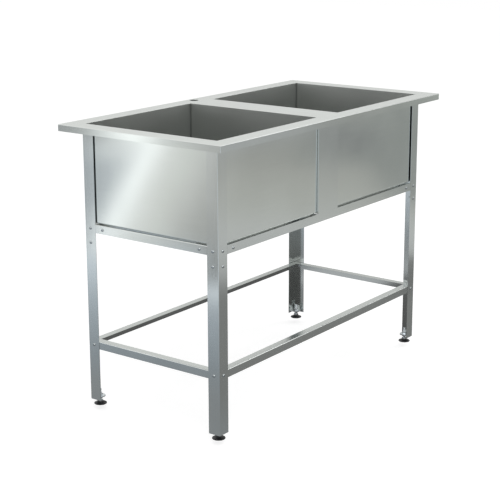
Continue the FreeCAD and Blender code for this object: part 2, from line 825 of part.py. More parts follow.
def make_outlet_body(bowl, side):
    """A flanged cup with a threaded tail and a hub on three arms."""
    name = f"{bowl}_outlet_body"
    body = new_body(name)
    flange = "(strainer_diameter / 2)"
    cup = f"({CUP_RADIUS} + outlet_wall)"
    tail = "(outlet_tail_diameter / 2)"
    bore = f"({tail} - outlet_wall)"
    below_flange = f"({OUTLET_TOP} - outlet_flange_thickness)"
    outer_step = f"({CUP_FLOOR} - outlet_wall)"
    tail_end = f"({outer_step} - outlet_tail_length)"
    profile = sketch_on(body, f"{name}_profile", "XZ_Plane")
    points = [
        (CUP_RADIUS, OUTLET_TOP),
        (flange, OUTLET_TOP),
        (flange, below_flange),
        (cup, below_flange),
        (cup, outer_step),
        (tail, outer_step),
        (tail, tail_end),
        (bore, tail_end),
        (bore, CUP_FLOOR),
        (CUP_RADIUS, CUP_FLOOR),
    ]
    add_polygon(profile, points)
    revolve(body, profile)

    arms = sketch_on(body, f"{name}_arm", "XY_Plane", CUP_FLOOR)
    half = "(arm_thickness / 2)"
    add_box(arms, ("0", negative(half)), (f"({CUP_RADIUS} + {half})", half))
    first = pad(body, arms, "hub_height / 2")
    ring = body.newObject("PartDesign::PolarPattern", f"{name}_arms")
    ring.Originals = [first]
    ring.Axis = (arms, ["N_Axis"])
    ring.Angle = 360
    ring.Occurrences = 3
    body.Tip = ring
    doc.recompute()
    hub = sketch_on(body, f"{name}_hub", "XY_Plane", CUP_FLOOR)
    add_circle(hub, ("0", "0"), "hub_diameter / 2")
    pad(body, hub, "hub_height")
    bore_top = f"{CUP_FLOOR} + hub_height"
    thread = sketch_on(body, f"{name}_thread", "XY_Plane", bore_top)
    add_circle(thread, ("0", "0"), "clamp_screw_diameter / 2 + screw_thread_gap")
    pocket(body, thread, "hub_height")
    place_at_outlet(body, side)


def make_clamp_screw(bowl, side):
    """The long screw that pulls the strainer and the cup together."""
    name = f"{bowl}_clamp_screw"
    body = new_body(name)
    head = "(clamp_head_diameter / 2)"
    shank = "(clamp_screw_diameter / 2)"
    foot = f"({STRAINER_TOP} - clamp_screw_length)"
    crown = f"({STRAINER_TOP} + clamp_head_height)"
    profile = sketch_on(body, f"{name}_profile", "XZ_Plane")
    points = [
        ("0", foot),
        (shank, foot),
        (shank, STRAINER_TOP),
        (head, STRAINER_TOP),
        ("clamp_crown_diameter / 2", crown),
        ("0", crown),
    ]
    add_polygon(profile, points)
    revolve(body, profile)
    place_at_outlet(body, side)


# ------------------------------------------------------------------- assembly

make_top_sheet()
for bowl_side, sign in (("left", -1), ("right", 1)):
    make_bowl(f"{bowl_side}_bowl", sign)
    make_strainer(bowl_side, sign)
    make_seal(f"{bowl_side}_upper_seal", sign, SEAT)
    make_seal(f"{bowl_side}_lower_seal", sign, OUTLET_TOP)
    make_outlet_body(bowl_side, sign)
    make_clamp_screw(bowl_side, sign)
for leg_name in LEGS:
    make_leg(leg_name)
    make_splice(leg_name)
    make_foot_bracket(leg_name)
    make_foot_pad(leg_name)
    make_foot_stem(leg_name)
for rail_side in RAILS:
    make_upper_rail(rail_side)
    make_lower_rail(rail_side)
make_frame_screws()
make_foot_nuts()
doc.recompute()

# ------------------------------------------------------------ check and export

for item in doc.Objects:
    if "Invalid" in item.State or "Error" in item.State:
        raise ValueError(f"{item.Name} failed to recompute")
for part in parts:
    if part.Shape.isNull() or not part.Shape.isValid():
        raise ValueError(f"{part.Label} has no valid shape")

os.makedirs("parts", exist_ok=True)
for part in parts:
    part.Shape.exportStep(f"parts/{part.Label}.step")
    print(part.Label, len(part.Shape.Solids), round(part.Shape.Volume))
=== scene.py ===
# %% [markdown]
# # A two-bowl sink unit on a bolted angle frame
#
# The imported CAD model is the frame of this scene: folded sheets, angles, screws
# and feet, each a named node that rides on a body. The sheets already have their
# true shape, so they stay and get a finish. Small turned parts, such as screws,
# nuts and feet, are made again here with the detail that the CAD leaves out.
# Lengths are metres; a size written in millimetres is multiplied by MM.

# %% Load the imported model
import math

import bmesh
import bpy
from mathutils import Matrix, Vector


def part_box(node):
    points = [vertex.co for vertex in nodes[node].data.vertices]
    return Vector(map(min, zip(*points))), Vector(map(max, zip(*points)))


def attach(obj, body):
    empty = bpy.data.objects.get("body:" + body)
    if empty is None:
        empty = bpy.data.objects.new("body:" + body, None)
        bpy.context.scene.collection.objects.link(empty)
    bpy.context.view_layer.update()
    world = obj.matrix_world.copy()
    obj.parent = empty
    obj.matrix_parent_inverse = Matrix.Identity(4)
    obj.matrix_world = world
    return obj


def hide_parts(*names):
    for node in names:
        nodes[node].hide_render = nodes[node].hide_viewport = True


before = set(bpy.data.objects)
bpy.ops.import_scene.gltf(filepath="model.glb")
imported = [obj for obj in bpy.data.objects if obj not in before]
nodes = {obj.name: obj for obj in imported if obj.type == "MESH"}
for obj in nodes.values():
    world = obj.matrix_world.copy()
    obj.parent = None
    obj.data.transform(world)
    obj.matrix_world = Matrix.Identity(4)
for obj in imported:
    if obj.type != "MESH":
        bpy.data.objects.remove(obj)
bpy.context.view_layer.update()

MM = 0.001

# %% [markdown]
# ## Colours and nodes
#
# Colours are written as sRGB hex, as a paint chart gives them, but a shader works
# on linear light. One function turns one into the other. The node trees could be
# drawn by hand in the editor, but a script can be read and run again, so a second
# small function adds a node, sets it up and links it, and each material below reads
# as a list of its layers.

# %% Helpers for colours and node trees

MATH = "ShaderNodeMath"


def linear(hex_colour):
    """An sRGB hex colour as linear red, green, blue and alpha."""
    channels = [int(hex_colour[i : i + 2], 16) / 255 for i in (1, 3, 5)]
    curve = [c / 12.92 if c <= 0.04045 else ((c + 0.055) / 1.055) ** 2.4 for c in channels]
    return (*curve, 1.0)


def add_node(tree, kind, inputs=(), **settings):
    """Add a node, set it up and link it.

    The inputs go by name, or in their order as a list. Each is a number, a colour
    or another node's output.
    """
    node = tree.nodes.new(kind)
    for name, value in settings.items():
        setattr(node, name, value)
    for name, value in inputs.items() if isinstance(inputs, dict) else enumerate(inputs):
        if isinstance(value, bpy.types.NodeSocket):
            tree.links.new(value, node.inputs[name])
        else:
            node.inputs[name].default_value = value
    return node


def new_material(name):
    """An empty material and its tree."""
    material = bpy.data.materials.new(name)
    material.use_nodes = True
    material.node_tree.nodes.clear()
    return material, material.node_tree


print("middle grey in linear light:", [round(c, 3) for c in linear("#808080")])

# %% [markdown]
# ## The two sides of a bowl
#
# A bowl is one sheet with two looks. Outside it is brushed like the rest. Inside,
# the corners were welded and the walls dressed with a coarser pad afterwards, so
# the steel there is duller: rougher, and also darker as painted shade of the deep
# bowl. Each corner has a narrow darker line where the weld was ground flush, which
# is partly painted shade of the corner. Both sides are one mesh. It could be cut
# into an inner and an outer piece, but the material can tell them apart as well,
# by whether the surface looks towards the middle of its bowl.

# %% Tell the inside of a bowl from its outside

CORNER_LINE_REACH = 5.0 * MM
INWARD_ENOUGH = 0.5


def bowl_sides(tree, place):
    """Two masks for a bowl: its inner side, and its inner corners' weld line with painted corner
    shade.
    """
    low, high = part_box("right_bowl")
    middle = (low[0] + high[0]) / 2
    wall_x = (high[0] - low[0]) / 2 - CORNER_LINE_REACH
    wall_y = (high[1] - low[1]) / 2 - CORNER_LINE_REACH
    at = add_node(tree, "ShaderNodeSeparateXYZ", {"Vector": place}).outputs
    normal = add_node(tree, "ShaderNodeNewGeometry").outputs["Normal"]
    facing = add_node(tree, "ShaderNodeSeparateXYZ", {"Vector": normal}).outputs
    from_land = add_node(tree, MATH, [at["X"]], operation="ABSOLUTE").outputs[0]
    across = add_node(tree, MATH, [from_land, middle], operation="SUBTRACT").outputs[0]
    side = add_node(tree, MATH, [at["X"]], operation="SIGN").outputs[0]
    facing_out = add_node(tree, MATH, [facing["X"], side], operation="MULTIPLY").outputs[0]
    away_y = add_node(tree, MATH, [at["Y"], facing["Y"]], operation="MULTIPLY").outputs[0]
    away = add_node(
        tree, MATH, [across, facing_out, away_y], operation="MULTIPLY_ADD"
    ).outputs[0]
    inward = add_node(
        tree, MATH, [away, -1 / high[1], facing["Z"]], operation="MULTIPLY_ADD"
    ).outputs[0]
    inner = add_node(tree, MATH, [inward, INWARD_ENOUGH], operation="GREATER_THAN").outputs[0]
    off_x = add_node(tree, MATH, [across], operation="ABSOLUTE").outputs[0]
    off_y = add_node(tree, MATH, [at["Y"]], operation="ABSOLUTE").outputs[0]
    near_x = add_node(tree, MATH, [off_x, wall_x], operation="GREATER_THAN").outputs[0]
    near_y = add_node(tree, MATH, [off_y, wall_y], operation="GREATER_THAN").outputs[0]
    corner = add_node(tree, MATH, [near_x, near_y], operation="MULTIPLY").outputs[0]
    # The inner corners: a weld line, and painted shade of the corner.
    weld_and_corner_shade = add_node(tree, MATH, [inner, corner], operation="MULTIPLY").outputs[0]
    return inner, weld_and_corner_shade


# %% [markdown]
# ## Brushed stainless steel
#
# The bowls, the top and the angles are cold-rolled stainless sheet, brushed to a
# satin finish before it was folded. The belt leaves fine scratches along one
# direction, which spread a reflection across them, and the rolling leaves a faint
# cloudiness over a hand's width. Real scratches are about 0.1 mm wide, which is far
# under a pixel here, so they are drawn 2.5 mm wide and kept very faint. A picture
# of scratches would repeat and blur. A noise that is stretched along the grain
# doesn't, and a second, broad one gives the cloudiness. The grain of a leg or rail
# runs along it, so each direction is a material of its own.

# %% Make the brushed steels

GRAIN_WIDTH = 2.5 * MM
GRAIN_LENGTH = 220 * MM
CLOUD_SIZE = 170 * MM
SCRATCH_DEPTH = 0.010 * MM
SCRATCH_SHARE = 0.45
PATTERN_LOW, PATTERN_HIGH = 0.4, 1.05
DARKER, LIGHTER = 0.955, 1.04
SMOOTHER, ROUGHER = 0.025, 0.03
DULL_ROUGHNESS = 0.23
# The inside of a bowl is darkened to this share: painted shade of the deep bowl.
INSIDE_PAINTED_SHADE = 0.76
# Each inner corner is darkened to this share: the weld line and painted shade of the corner.
WELD_AND_CORNER_SHADE = 0.42


def shaded(colour, share):
    """The colour with its light multiplied."""
    return (*[min(1.0, channel * share) for channel in colour[:3]], 1.0)


def brushed_steel(name, colour, along, roughness, bowl=False):
    """Satin stainless steel whose scratches run along the axes named in along."""
    material, tree = new_material(name)
    place = add_node(tree, "ShaderNodeTexCoord").outputs["Object"]
    stretch = [1 / (GRAIN_LENGTH if axis in along else GRAIN_WIDTH) for axis in "xyz"]
    along_grain = add_node(
        tree, "ShaderNodeMapping", {"Vector": place, "Scale": stretch}
    ).outputs["Vector"]
    scratches = add_node(
        tree,
        "ShaderNodeTexNoise",
        {"Vector": along_grain, "Scale": 1.0, "Detail": 3.0, "Roughness": 0.6},
    ).outputs["Fac"]
    clouds = add_node(
        tree,
        "ShaderNodeTexNoise",
        {"Vector": place, "Scale": 1 / CLOUD_SIZE, "Detail": 2.0, "Roughness": 0.5},
    ).outputs["Fac"]
    pattern = add_node(
        tree, MATH, [scratches, SCRATCH_SHARE, clouds], operation="MULTIPLY_ADD"
    ).outputs[0]
    reach = {"Value": pattern, "From Min": PATTERN_LOW, "From Max": PATTERN_HIGH}
    tint = add_node(tree, "ShaderNodeMapRange", reach).outputs["Result"]
    gloss = add_node(
        tree,
        "ShaderNodeMapRange",
        {**reach, "To Min": roughness - SMOOTHER, "To Max": roughness + ROUGHER},
    ).outputs["Result"]
    base = linear(colour)
    shade = add_node(
        tree,
        "ShaderNodeMixRGB",
        {"Fac": tint, "Color1": shaded(base, DARKER), "Color2": shaded(base, LIGHTER)},
    ).outputs["Color"]
    if bowl:
        inner, weld_and_corner_shade = bowl_sides(tree, place)
        gloss = add_node(
            tree, MATH, [inner, DULL_ROUGHNESS, gloss], operation="MULTIPLY_ADD"
        ).outputs[0]
        # Painted shade: the inside of a bowl is darker, and its inner corners darker still along
        # the weld line.
        for mask, share in ((inner, INSIDE_PAINTED_SHADE), (weld_and_corner_shade, WELD_AND_CORNER_SHADE)):
            shade = add_node(
                tree,
                "ShaderNodeMixRGB",
                {"Fac": mask, "Color1": shade, "Color2": shaded(base, share)},
            ).outputs["Color"]
    relief = add_node(
        tree,
        "ShaderNodeBump",
        {"Height": scratches, "Strength": 0.6, "Distance": SCRATCH_DEPTH},
    ).outputs["Normal"]
    shader = add_node(
        tree,
        "ShaderNodeBsdfPrincipled",
        {"Base Color": shade, "Roughness": gloss, "Normal": relief, "Metallic": 1.0},
    )
    add_node(tree, "ShaderNodeOutputMaterial", {"Surface": shader.outputs["BSDF"]})
    return material


SHEET_COLOUR = "#D2D5D2"
ANGLE_COLOUR = "#D0D3D1"
top_steel = brushed_steel("satin_stainless_top", SHEET_COLOUR, "x", 0.14)
bowl_steel = brushed_steel("satin_stainless_bowl", SHEET_COLOUR, "xy", 0.13, bowl=True)
upright_steel = brushed_steel("satin_stainless_upright", ANGLE_COLOUR, "z", 0.15)
long_rail_steel = brushed_steel("satin_stainless_long_rail", ANGLE_COLOUR, "x", 0.15)
short_rail_steel = brushed_steel("satin_stainless_short_rail", ANGLE_COLOUR, "y", 0.15)
print("nodes in the bowls' steel:", len(bowl_steel.node_tree.nodes))

# %% [markdown]
# ## Plating, polish, rubber and plastics
#
# The nuts, brackets and the feet's stems are mild steel with a bright zinc
# plating: lighter and a little bluer than the stainless, with a fine speckle from
# the bath. The frame screws are zinc plated too, but their hardened steel takes
# the plating greyer. The strainers are pressed and polished stainless. The foot
# pads are black moulded polyethylene, the outlet bodies white moulded
# polypropylene, both with the fine orange-peel of the mould, and the seals are
# black rubber. One flat colour for each would look like paint, and a tree for each
# would say the same six times, so all of them are one recipe: a speckle over a
# constant, with their own sizes.

# %% Make the speckled finishes


def speckled(name, dark, light, speckle, roughness, depth, metallic=0.0, spread=0.05):
    """A finish whose colour, gloss and relief vary with one fine noise."""
    material, tree = new_material(name)
    place = add_node(tree, "ShaderNodeTexCoord").outputs["Object"]
    noise = add_node(
        tree,
        "ShaderNodeTexNoise",
        {"Vector": place, "Scale": 1 / speckle, "Detail": 2.0, "Roughness": 0.55},
    ).outputs["Fac"]
    shade = add_node(
        tree,
        "ShaderNodeMixRGB",
        {"Fac": noise, "Color1": linear(dark), "Color2": linear(light)},
    ).outputs["Color"]
    gloss = add_node(
        tree,
        "ShaderNodeMapRange",
        {"Value": noise, "To Min": roughness - spread, "To Max": roughness + spread},
    ).outputs["Result"]
    relief = add_node(
        tree,
        "ShaderNodeBump",
        {"Height": noise, "Strength": 0.5, "Distance": depth},
    ).outputs["Normal"]
    shader = add_node(
        tree,
        "ShaderNodeBsdfPrincipled",
        {"Base Color": shade, "Roughness": gloss, "Normal": relief, "Metallic": metallic},
    )
    add_node(tree, "ShaderNodeOutputMaterial", {"Surface": shader.outputs["BSDF"]})
    return material


zinc_plating = speckled(
    "bright_zinc_plating", "#CDD2D6", "#E4E8EA", 1.2 * MM, 0.20, 0.01 * MM, metallic=1.0
)
polished_steel = speckled(
    "polished_stainless", "#CFD1D1", "#DDDFDE", 6 * MM, 0.12, 0.01 * MM, metallic=1.0, spread=0.03
)
foot_plastic = speckled(
    "moulded_black_polyethylene", "#121314", "#1D1E20", 1.5 * MM, 0.42, 0.05 * MM
)
grey_zinc = speckled(
    "grey_zinc_plating", "#A3A8AA", "#B6BABB", 1.2 * MM, 0.18, 0.01 * MM, metallic=1.0
)
seal_rubber = speckled("black_rubber", "#161616", "#222222", 1.0 * MM, 0.75, 0.04 * MM)
outlet_plastic = speckled(
    "moulded_white_polypropylene", "#D6D6D0", "#E3E3DE", 2.0 * MM, 0.38, 0.04 * MM
)
print("materials so far:", len(bpy.data.materials))

# %% [markdown]
# ## Finishes for the sheets and angles
#
# The folded sheets and angles could be modelled again, but their CAD meshes
# already have every fold, hole and mitre of the real ones, so they stay. Only the
# material in their slots changes: the grain runs along each leg and rail, round the
# bowls' walls, and lengthwise over the top.

# %% Give each CAD node its finish


def finish_for(name):
    """The steel or plating of a sheet or angle, by its name."""
    if name == "top_sheet":
        return top_steel
    if name.endswith("_bowl"):
        return bowl_steel
    if name.endswith(("_leg", "_splice")):
        return upright_steel
    if name.endswith("_foot_bracket"):
        return zinc_plating
    if name.startswith(("front", "rear")):
        return long_rail_steel
    return short_rail_steel


kept_sheets = [
    name
    for name in nodes
    if name == "top_sheet" or name.endswith(("bowl", "leg", "splice", "rail", "bracket"))
]
for name in kept_sheets:
    for material_slot in nodes[name].material_slots:
        material_slot.material = finish_for(name)
print("sheets and angles with a finish:", len(kept_sheets))

# %% [markdown]
# ## Turned parts
#
# Screws, nuts, foot pads, stems, strainers and outlets are all turned or moulded
# round an axis. Each could be modelled on its own with Spin or a Screw modifier,
# but one Geometry Nodes tree can make them all. Its input mesh is a profile: a row
# of points, each with a reach from the axis (x), a height (z) and, in y, half the
# width across flats where the piece is six-sided. The first half of the tree sweeps
# the row round the axis, cuts the hexagons and winds a thread where the profile
# asks for one.

# %% Sweep a profile round its axis

ROUND = 1.0  # a half width this large never cuts: the point stays round
SIXTH = math.tau / 6
MERGE_DISTANCE = 0.002 * MM


def swept_profile(tree, given):
    """The profile swept round the axis, with its hexagons and threads."""
    rows = add_node(
        tree, "GeometryNodeAttributeDomainSize", {"Geometry": given["Profile"]}
    ).outputs["Point Count"]
    columns = add_node(tree, MATH, [given["Segments"], 1.0], operation="ADD").outputs[0]
    grid = add_node(
        tree, "GeometryNodeMeshGrid", {"Vertices X": rows, "Vertices Y": columns}
    ).outputs["Mesh"]
    index = add_node(tree, "GeometryNodeInputIndex").outputs["Index"]
    passed = add_node(tree, MATH, [index, columns], operation="DIVIDE").outputs[0]
    row = add_node(tree, MATH, [passed], operation="FLOOR").outputs[0]
    column = add_node(tree, MATH, [index, columns], operation="MODULO").outputs[0]
    share = add_node(tree, MATH, [column, given["Segments"]], operation="DIVIDE").outputs[0]
    turn = add_node(tree, MATH, [share, math.tau], operation="MULTIPLY").outputs[0]

    position = add_node(tree, "GeometryNodeInputPosition").outputs["Position"]
    corner = add_node(
        tree,
        "GeometryNodeSampleIndex",
        {"Geometry": given["Profile"], "Index": row, "Value": position},
        data_type="FLOAT_VECTOR",
    ).outputs["Value"]
    at = add_node(tree, "ShaderNodeSeparateXYZ", {"Vector": corner}).outputs
    thread_mark = add_node(
        tree, "GeometryNodeInputNamedAttribute", {"Name": "threaded"}, data_type="FLOAT"
    ).outputs["Attribute"]
    threaded = add_node(
        tree,
        "GeometryNodeSampleIndex",
        {"Geometry": given["Profile"], "Index": row, "Value": thread_mark},
        data_type="FLOAT",
    ).outputs["Value"]

    past_corner = add_node(tree, MATH, [turn, SIXTH], operation="MODULO").outputs[0]
    off_flat = add_node(tree, MATH, [past_corner, SIXTH / 2], operation="SUBTRACT").outputs[0]
    narrowing = add_node(tree, MATH, [off_flat], operation="COSINE").outputs[0]
    to_flat = add_node(tree, MATH, [at["Y"], narrowing], operation="DIVIDE").outputs[0]
    reach = add_node(tree, MATH, [at["X"], to_flat], operation="MINIMUM").outputs[0]

    pitches = add_node(
        tree, MATH, [at["Z"], given["Thread Pitch"]], operation="DIVIDE"
    ).outputs[0]
    turns = add_node(tree, MATH, [turn, math.tau], operation="DIVIDE").outputs[0]
    winding = add_node(tree, MATH, [pitches, turns], operation="SUBTRACT").outputs[0]
    phase = add_node(tree, MATH, [winding], operation="FRACT").outputs[0]
    off_crest = add_node(tree, MATH, [phase, 0.5], operation="SUBTRACT").outputs[0]
    half_ridge = add_node(tree, MATH, [off_crest], operation="ABSOLUTE").outputs[0]
    ridge = add_node(tree, MATH, [half_ridge, 2.0], operation="MULTIPLY").outputs[0]
    depth = add_node(
        tree, MATH, [threaded, given["Thread Depth"]], operation="MULTIPLY"
    ).outputs[0]
    groove = add_node(tree, MATH, [ridge, depth], operation="MULTIPLY").outputs[0]
    radius = add_node(tree, MATH, [reach, groove], operation="SUBTRACT").outputs[0]

    cosine = add_node(tree, MATH, [turn], operation="COSINE").outputs[0]
    sine = add_node(tree, MATH, [turn], operation="SINE").outputs[0]
    x = add_node(tree, MATH, [radius, cosine], operation="MULTIPLY").outputs[0]
    y = add_node(tree, MATH, [radius, sine], operation="MULTIPLY").outputs[0]
    point = add_node(
        tree, "ShaderNodeCombineXYZ", {"X": x, "Y": y, "Z": at["Z"]}
    ).outputs["Vector"]
    swept = add_node(
        tree, "GeometryNodeSetPosition", {"Geometry": grid, "Position": point}
    ).outputs["Geometry"]
    return add_node(
        tree, "GeometryNodeMergeByDistance", {"Geometry": swept, "Distance": MERGE_DISTANCE}
    ).outputs["Geometry"]


print("a hexagon's side turns through", round(math.degrees(SIXTH)), "degrees")

# %% [markdown]
# ## A copy at each place
#
# A factory drives each screw home to wherever its thread stops, so no two sockets
# stand alike. The second half of the tree sets a copy of the swept shape at each
# point of another object, along the direction that is kept there, and turns it by
# a random angle about its axis. The copies could be placed by a loop in the script,
# but a tree keeps the random turns in one seed. It ends in plain geometry with its
# material, because an exported file has no instances.

# %% Build the tree that makes turned parts


def inputs_and_output(tree, inputs):
    """Give the tree its named inputs and its one output, a geometry."""
    for label, kind in inputs:
        tree.interface.new_socket(name=label, in_out="INPUT", socket_type=kind)
    tree.interface.new_socket(
        name="Geometry", in_out="OUTPUT", socket_type="NodeSocketGeometry"
    )
    return add_node(tree, "NodeGroupInput").outputs


def turning_tree():
    """The tree that sweeps a profile and sets a copy at each place."""
    tree = bpy.data.node_groups.new("turned_part", "GeometryNodeTree")
    given = inputs_and_output(
        tree,
        (
            ("Profile", "NodeSocketGeometry"),
            ("Segments", "NodeSocketInt"),
            ("Thread Pitch", "NodeSocketFloat"),
            ("Thread Depth", "NodeSocketFloat"),
            ("Places", "NodeSocketObject"),
            ("Loose Turn", "NodeSocketFloat"),
            ("Seed", "NodeSocketInt"),
            ("Finish", "NodeSocketMaterial"),
        ),
    )
    shape = swept_profile(tree, given)
    spots = add_node(
        tree, "GeometryNodeObjectInfo", {"Object": given["Places"]}
    ).outputs["Geometry"]
    facing = add_node(
        tree,
        "GeometryNodeInputNamedAttribute",
        {"Name": "facing"},
        data_type="FLOAT_VECTOR",
    ).outputs["Attribute"]
    upright = add_node(
        tree, "FunctionNodeAlignRotationToVector", {"Vector": facing}, axis="Z"
    ).outputs["Rotation"]
    angle = add_node(
        tree,
        "FunctionNodeRandomValue",
        {3: given["Loose Turn"], "Seed": given["Seed"]},
        data_type="FLOAT",
    ).outputs[1]
    spin = add_node(
        tree,
        "FunctionNodeAxisAngleToRotation",
        {"Axis": (0.0, 0.0, 1.0), "Angle": angle},
    ).outputs["Rotation"]
    turned = add_node(
        tree,
        "FunctionNodeRotateRotation",
        {"Rotation": upright, "Rotate By": spin},
        rotation_space="LOCAL",
    ).outputs["Rotation"]
    copies = add_node(
        tree,
        "GeometryNodeInstanceOnPoints",
        {"Points": spots, "Instance": shape, "Rotation": turned},
    ).outputs["Instances"]
    real = add_node(
        tree, "GeometryNodeRealizeInstances", {"Geometry": copies}
    ).outputs["Geometry"]
    finished = add_node(
        tree,
        "GeometryNodeSetMaterial",
        {"Geometry": real, "Material": given["Finish"]},
    ).outputs["Geometry"]
    add_node(tree, "NodeGroupOutput", {"Geometry": finished})
    return tree


turned_part = turning_tree()
print("nodes in the turning tree:", len(turned_part.nodes))

# %% [markdown]
# ## Profiles in millimetres
#
# A drawing of a screw gives its radii and heights in millimetres. A profile could
# be a curve drawn by hand, but a row of numbers can be held against the drawing.
# Three helpers name the kinds of stretch in it: plain, six-sided and threaded. A
# threaded stretch gets rows of its own, because the tree can press a groove only
# where there are points.

# %% Helpers that write a profile

FULL = ROUND / MM
ROWS_A_TURN = 4


def plain(*pairs):
    """Round points of a profile."""
    return [(reach, height, FULL, 0) for reach, height in pairs]


def six_sided(half_flats, *pairs):
    """Points of a profile that are cut to a hexagon."""
    return [(reach, height, half_flats, 0) for reach, height in pairs]


def thread(reach, low, high):
    """A threaded stretch of a profile."""
    return [(reach, low, FULL, 1), (reach, high, FULL, 1)]


def with_threads(profile, pitch):
    """Add rows to the profile's threaded runs, a few to each turn of the thread."""
    rows = []
    for (reach, height, half_flats, mark), following in zip(profile, profile[1:] + profile[-1:]):
        rows.append((reach, height, half_flats, mark))
        if mark and following[3]:
            run = following[1] - height
            count = max(1, round(abs(run) / pitch * ROWS_A_TURN))
            rows += [(reach, height + run * i / count, half_flats, 1) for i in range(1, count)]
    return rows


print("rows in 10 mm of M8 thread:", len(with_threads(thread(4, 0, 10), 1.25)))

# %% [markdown]
# ## From a tree to a plain mesh
#
# A modifier is handy while a shape is being worked out, and could stay live, but
# the finished piece is a plain mesh that sits at the origin, as the CAD nodes do.
# These helpers run the tree on a profile, take the result as a mesh, and set its
# normals and smooth shading.

# %% Helpers that make a turned piece

SHARP_ANGLE = math.radians(32)
TURN_SEED = 7


def points_object(name, points, attribute, kind, values):
    """A mesh of loose points with one more value at each."""
    mesh = bpy.data.meshes.new(name)
    mesh.from_pydata(points, [], [])
    layer = mesh.attributes.new(attribute, kind, "POINT")
    for item, value in zip(layer.data, values):
        if kind == "FLOAT":
            item.value = value
        else:
            item.vector = value
    made = bpy.data.objects.new(name, mesh)
    bpy.context.scene.collection.objects.link(made)
    return made


def fill_inputs(modifier, wanted):
    """Set a Geometry Nodes modifier's inputs, which go by identifier, by name."""
    for item in modifier.node_group.interface.items_tree:
        if item.in_out == "INPUT" and item.name in wanted:
            modifier[item.identifier] = wanted[item.name]


def evaluated_mesh(carrier, name):
    """The carrier's mesh with its modifiers applied; the carrier is removed."""
    depsgraph = bpy.context.evaluated_depsgraph_get()
    mesh = bpy.data.meshes.new_from_object(carrier.evaluated_get(depsgraph))
    mesh.name = name
    bpy.data.objects.remove(carrier)
    return mesh


def finished_piece(name, mesh):
    """A closed mesh with faces outwards and smooth shading, as a piece."""
    shape = bmesh.new()
    shape.from_mesh(mesh)
    bmesh.ops.recalc_face_normals(shape, faces=shape.faces)
    open_edges = sum(1 for edge in shape.edges if not edge.is_manifold)
    shape.to_mesh(mesh)
    shape.free()
    mesh.polygons.foreach_set("use_smooth", [True] * len(mesh.polygons))
    mesh.set_sharp_from_angle(angle=SHARP_ANGLE)
    piece = bpy.data.objects.new(name, mesh)
    bpy.context.scene.collection.objects.link(piece)
    print(name, "faces:", len(mesh.polygons), "open edges:", open_edges)
    return piece


def turned_mesh(name, profile, places, finish, segments=24, pitch=1.0, depth=0.0, loose=0.0):
    """Turn a profile in mm and set a copy at each place, a point and a direction."""
    rows = with_threads(profile, pitch)
    carrier = points_object(
        name + "_profile",
        [(reach * MM, half_flats * MM, height * MM) for reach, height, half_flats, mark in rows],
        "threaded",
        "FLOAT",
        [mark for reach, height, half_flats, mark in rows],
    )
    spots = points_object(
        name + "_places",
        [place for place, facing in places],
        "facing",
        "FLOAT_VECTOR",
        [facing for place, facing in places],
    )
    modifier = carrier.modifiers.new("turn", "NODES")
    modifier.node_group = turned_part
    wanted = {
        "Segments": segments,
        "Thread Pitch": pitch * MM,
        "Thread Depth": depth * MM,
        "Places": spots,
        "Loose Turn": loose,
        "Seed": TURN_SEED,
        "Finish": finish,
    }
    fill_inputs(modifier, wanted)
    mesh = evaluated_mesh(carrier, name)
    bpy.data.objects.remove(spots)
    return mesh


print("edges sharper than", round(math.degrees(SHARP_ANGLE)), "degrees stay sharp")

# %% [markdown]
# ## Frame screws
#
# Each joint of the frame has domed M5 screws with a hexagon socket. Their heads
# are only 9.5 mm wide, but the small bright domes with a dark dot are what tells
# a bolted frame from a welded one. A dome and a dot could be painted on with a
# bump, but would lie flat in a close view. Here a screw is one profile: the tip,
# the thread that shows behind the sheets, the dome, and the socket. The places
# come from the legs' corners, a screw on each face of a leg.

# %% Turn the frame screws

LEG_X = 550 * MM
LEG_Y = 250 * MM
LEG_SIGNS = {
    "front_left": (-1, -1),
    "front_right": (1, -1),
    "rear_right": (1, 1),
    "rear_left": (-1, 1),
}


def face_places(spots, depth, outwards):
    """Places on both outer faces of each leg; spots are (mm along, mm up)."""
    sign = 1 if outwards else -1
    places = []
    for side_x, side_y in LEG_SIGNS.values():
        for along, up in spots:
            on_front = (side_x * (LEG_X - along * MM), side_y * (LEG_Y - depth * MM), up * MM)
            on_end = (side_x * (LEG_X - depth * MM), side_y * (LEG_Y - along * MM), up * MM)
            places.append((Vector(on_front), (0, side_y * sign, 0)))
            places.append((Vector(on_end), (side_x * sign, 0, 0)))
    return places


UPPER_SPOTS = [(20, 559), (20, 515), (68, 559)]
LOWER_SPOTS = [(20, 195)]
SCREW_PITCH = 0.8
SCREW_THREAD_DEPTH = 0.45
SCREW_PROFILE = (
    plain((0, -12), (2.1, -12))
    + thread(2.5, -11.6, -3.2)
    + plain((2.5, -3), (2.5, 0), (4.55, 0), (4.75, 0.2), (4.72, 0.7), (4.45, 1.3), (3.95, 1.85))
    + plain((3.3, 2.3), (2.6, 2.6), (2.0, 2.78))
    + six_sided(1.5, (1.74, 2.8), (1.74, 1.3))
    + plain((0, 1.0))
)
for level, spots in (("upper", UPPER_SPOTS), ("lower", LOWER_SPOTS)):
    name = f"{level}_socket_screws"
    screws = finished_piece(
        name,
        turned_mesh(
            name,
            SCREW_PROFILE,
            face_places(spots, 0, outwards=True),
            grey_zinc,
            pitch=SCREW_PITCH,
            depth=SCREW_THREAD_DEPTH,
            loose=SIXTH,
        ),
    )
    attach(screws, "root")
    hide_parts(f"{level}_frame_screws")

# %% [markdown]
# ## Nuts
#
# Behind each frame screw is an M5 nut with a flange, and each foot has two M8
# nuts, one welded on its bracket and one that locks the stem from below. A nut
# could be a hexagonal prism with a Bevel modifier, but a bevel cuts its corners
# straight. Here it is a closed profile with a bore. The hexagon is cut by the
# tree, and because the points at its ends reach less far, the chamfer leaves the
# rounded corners that a real nut has.

# %% Turn the nuts

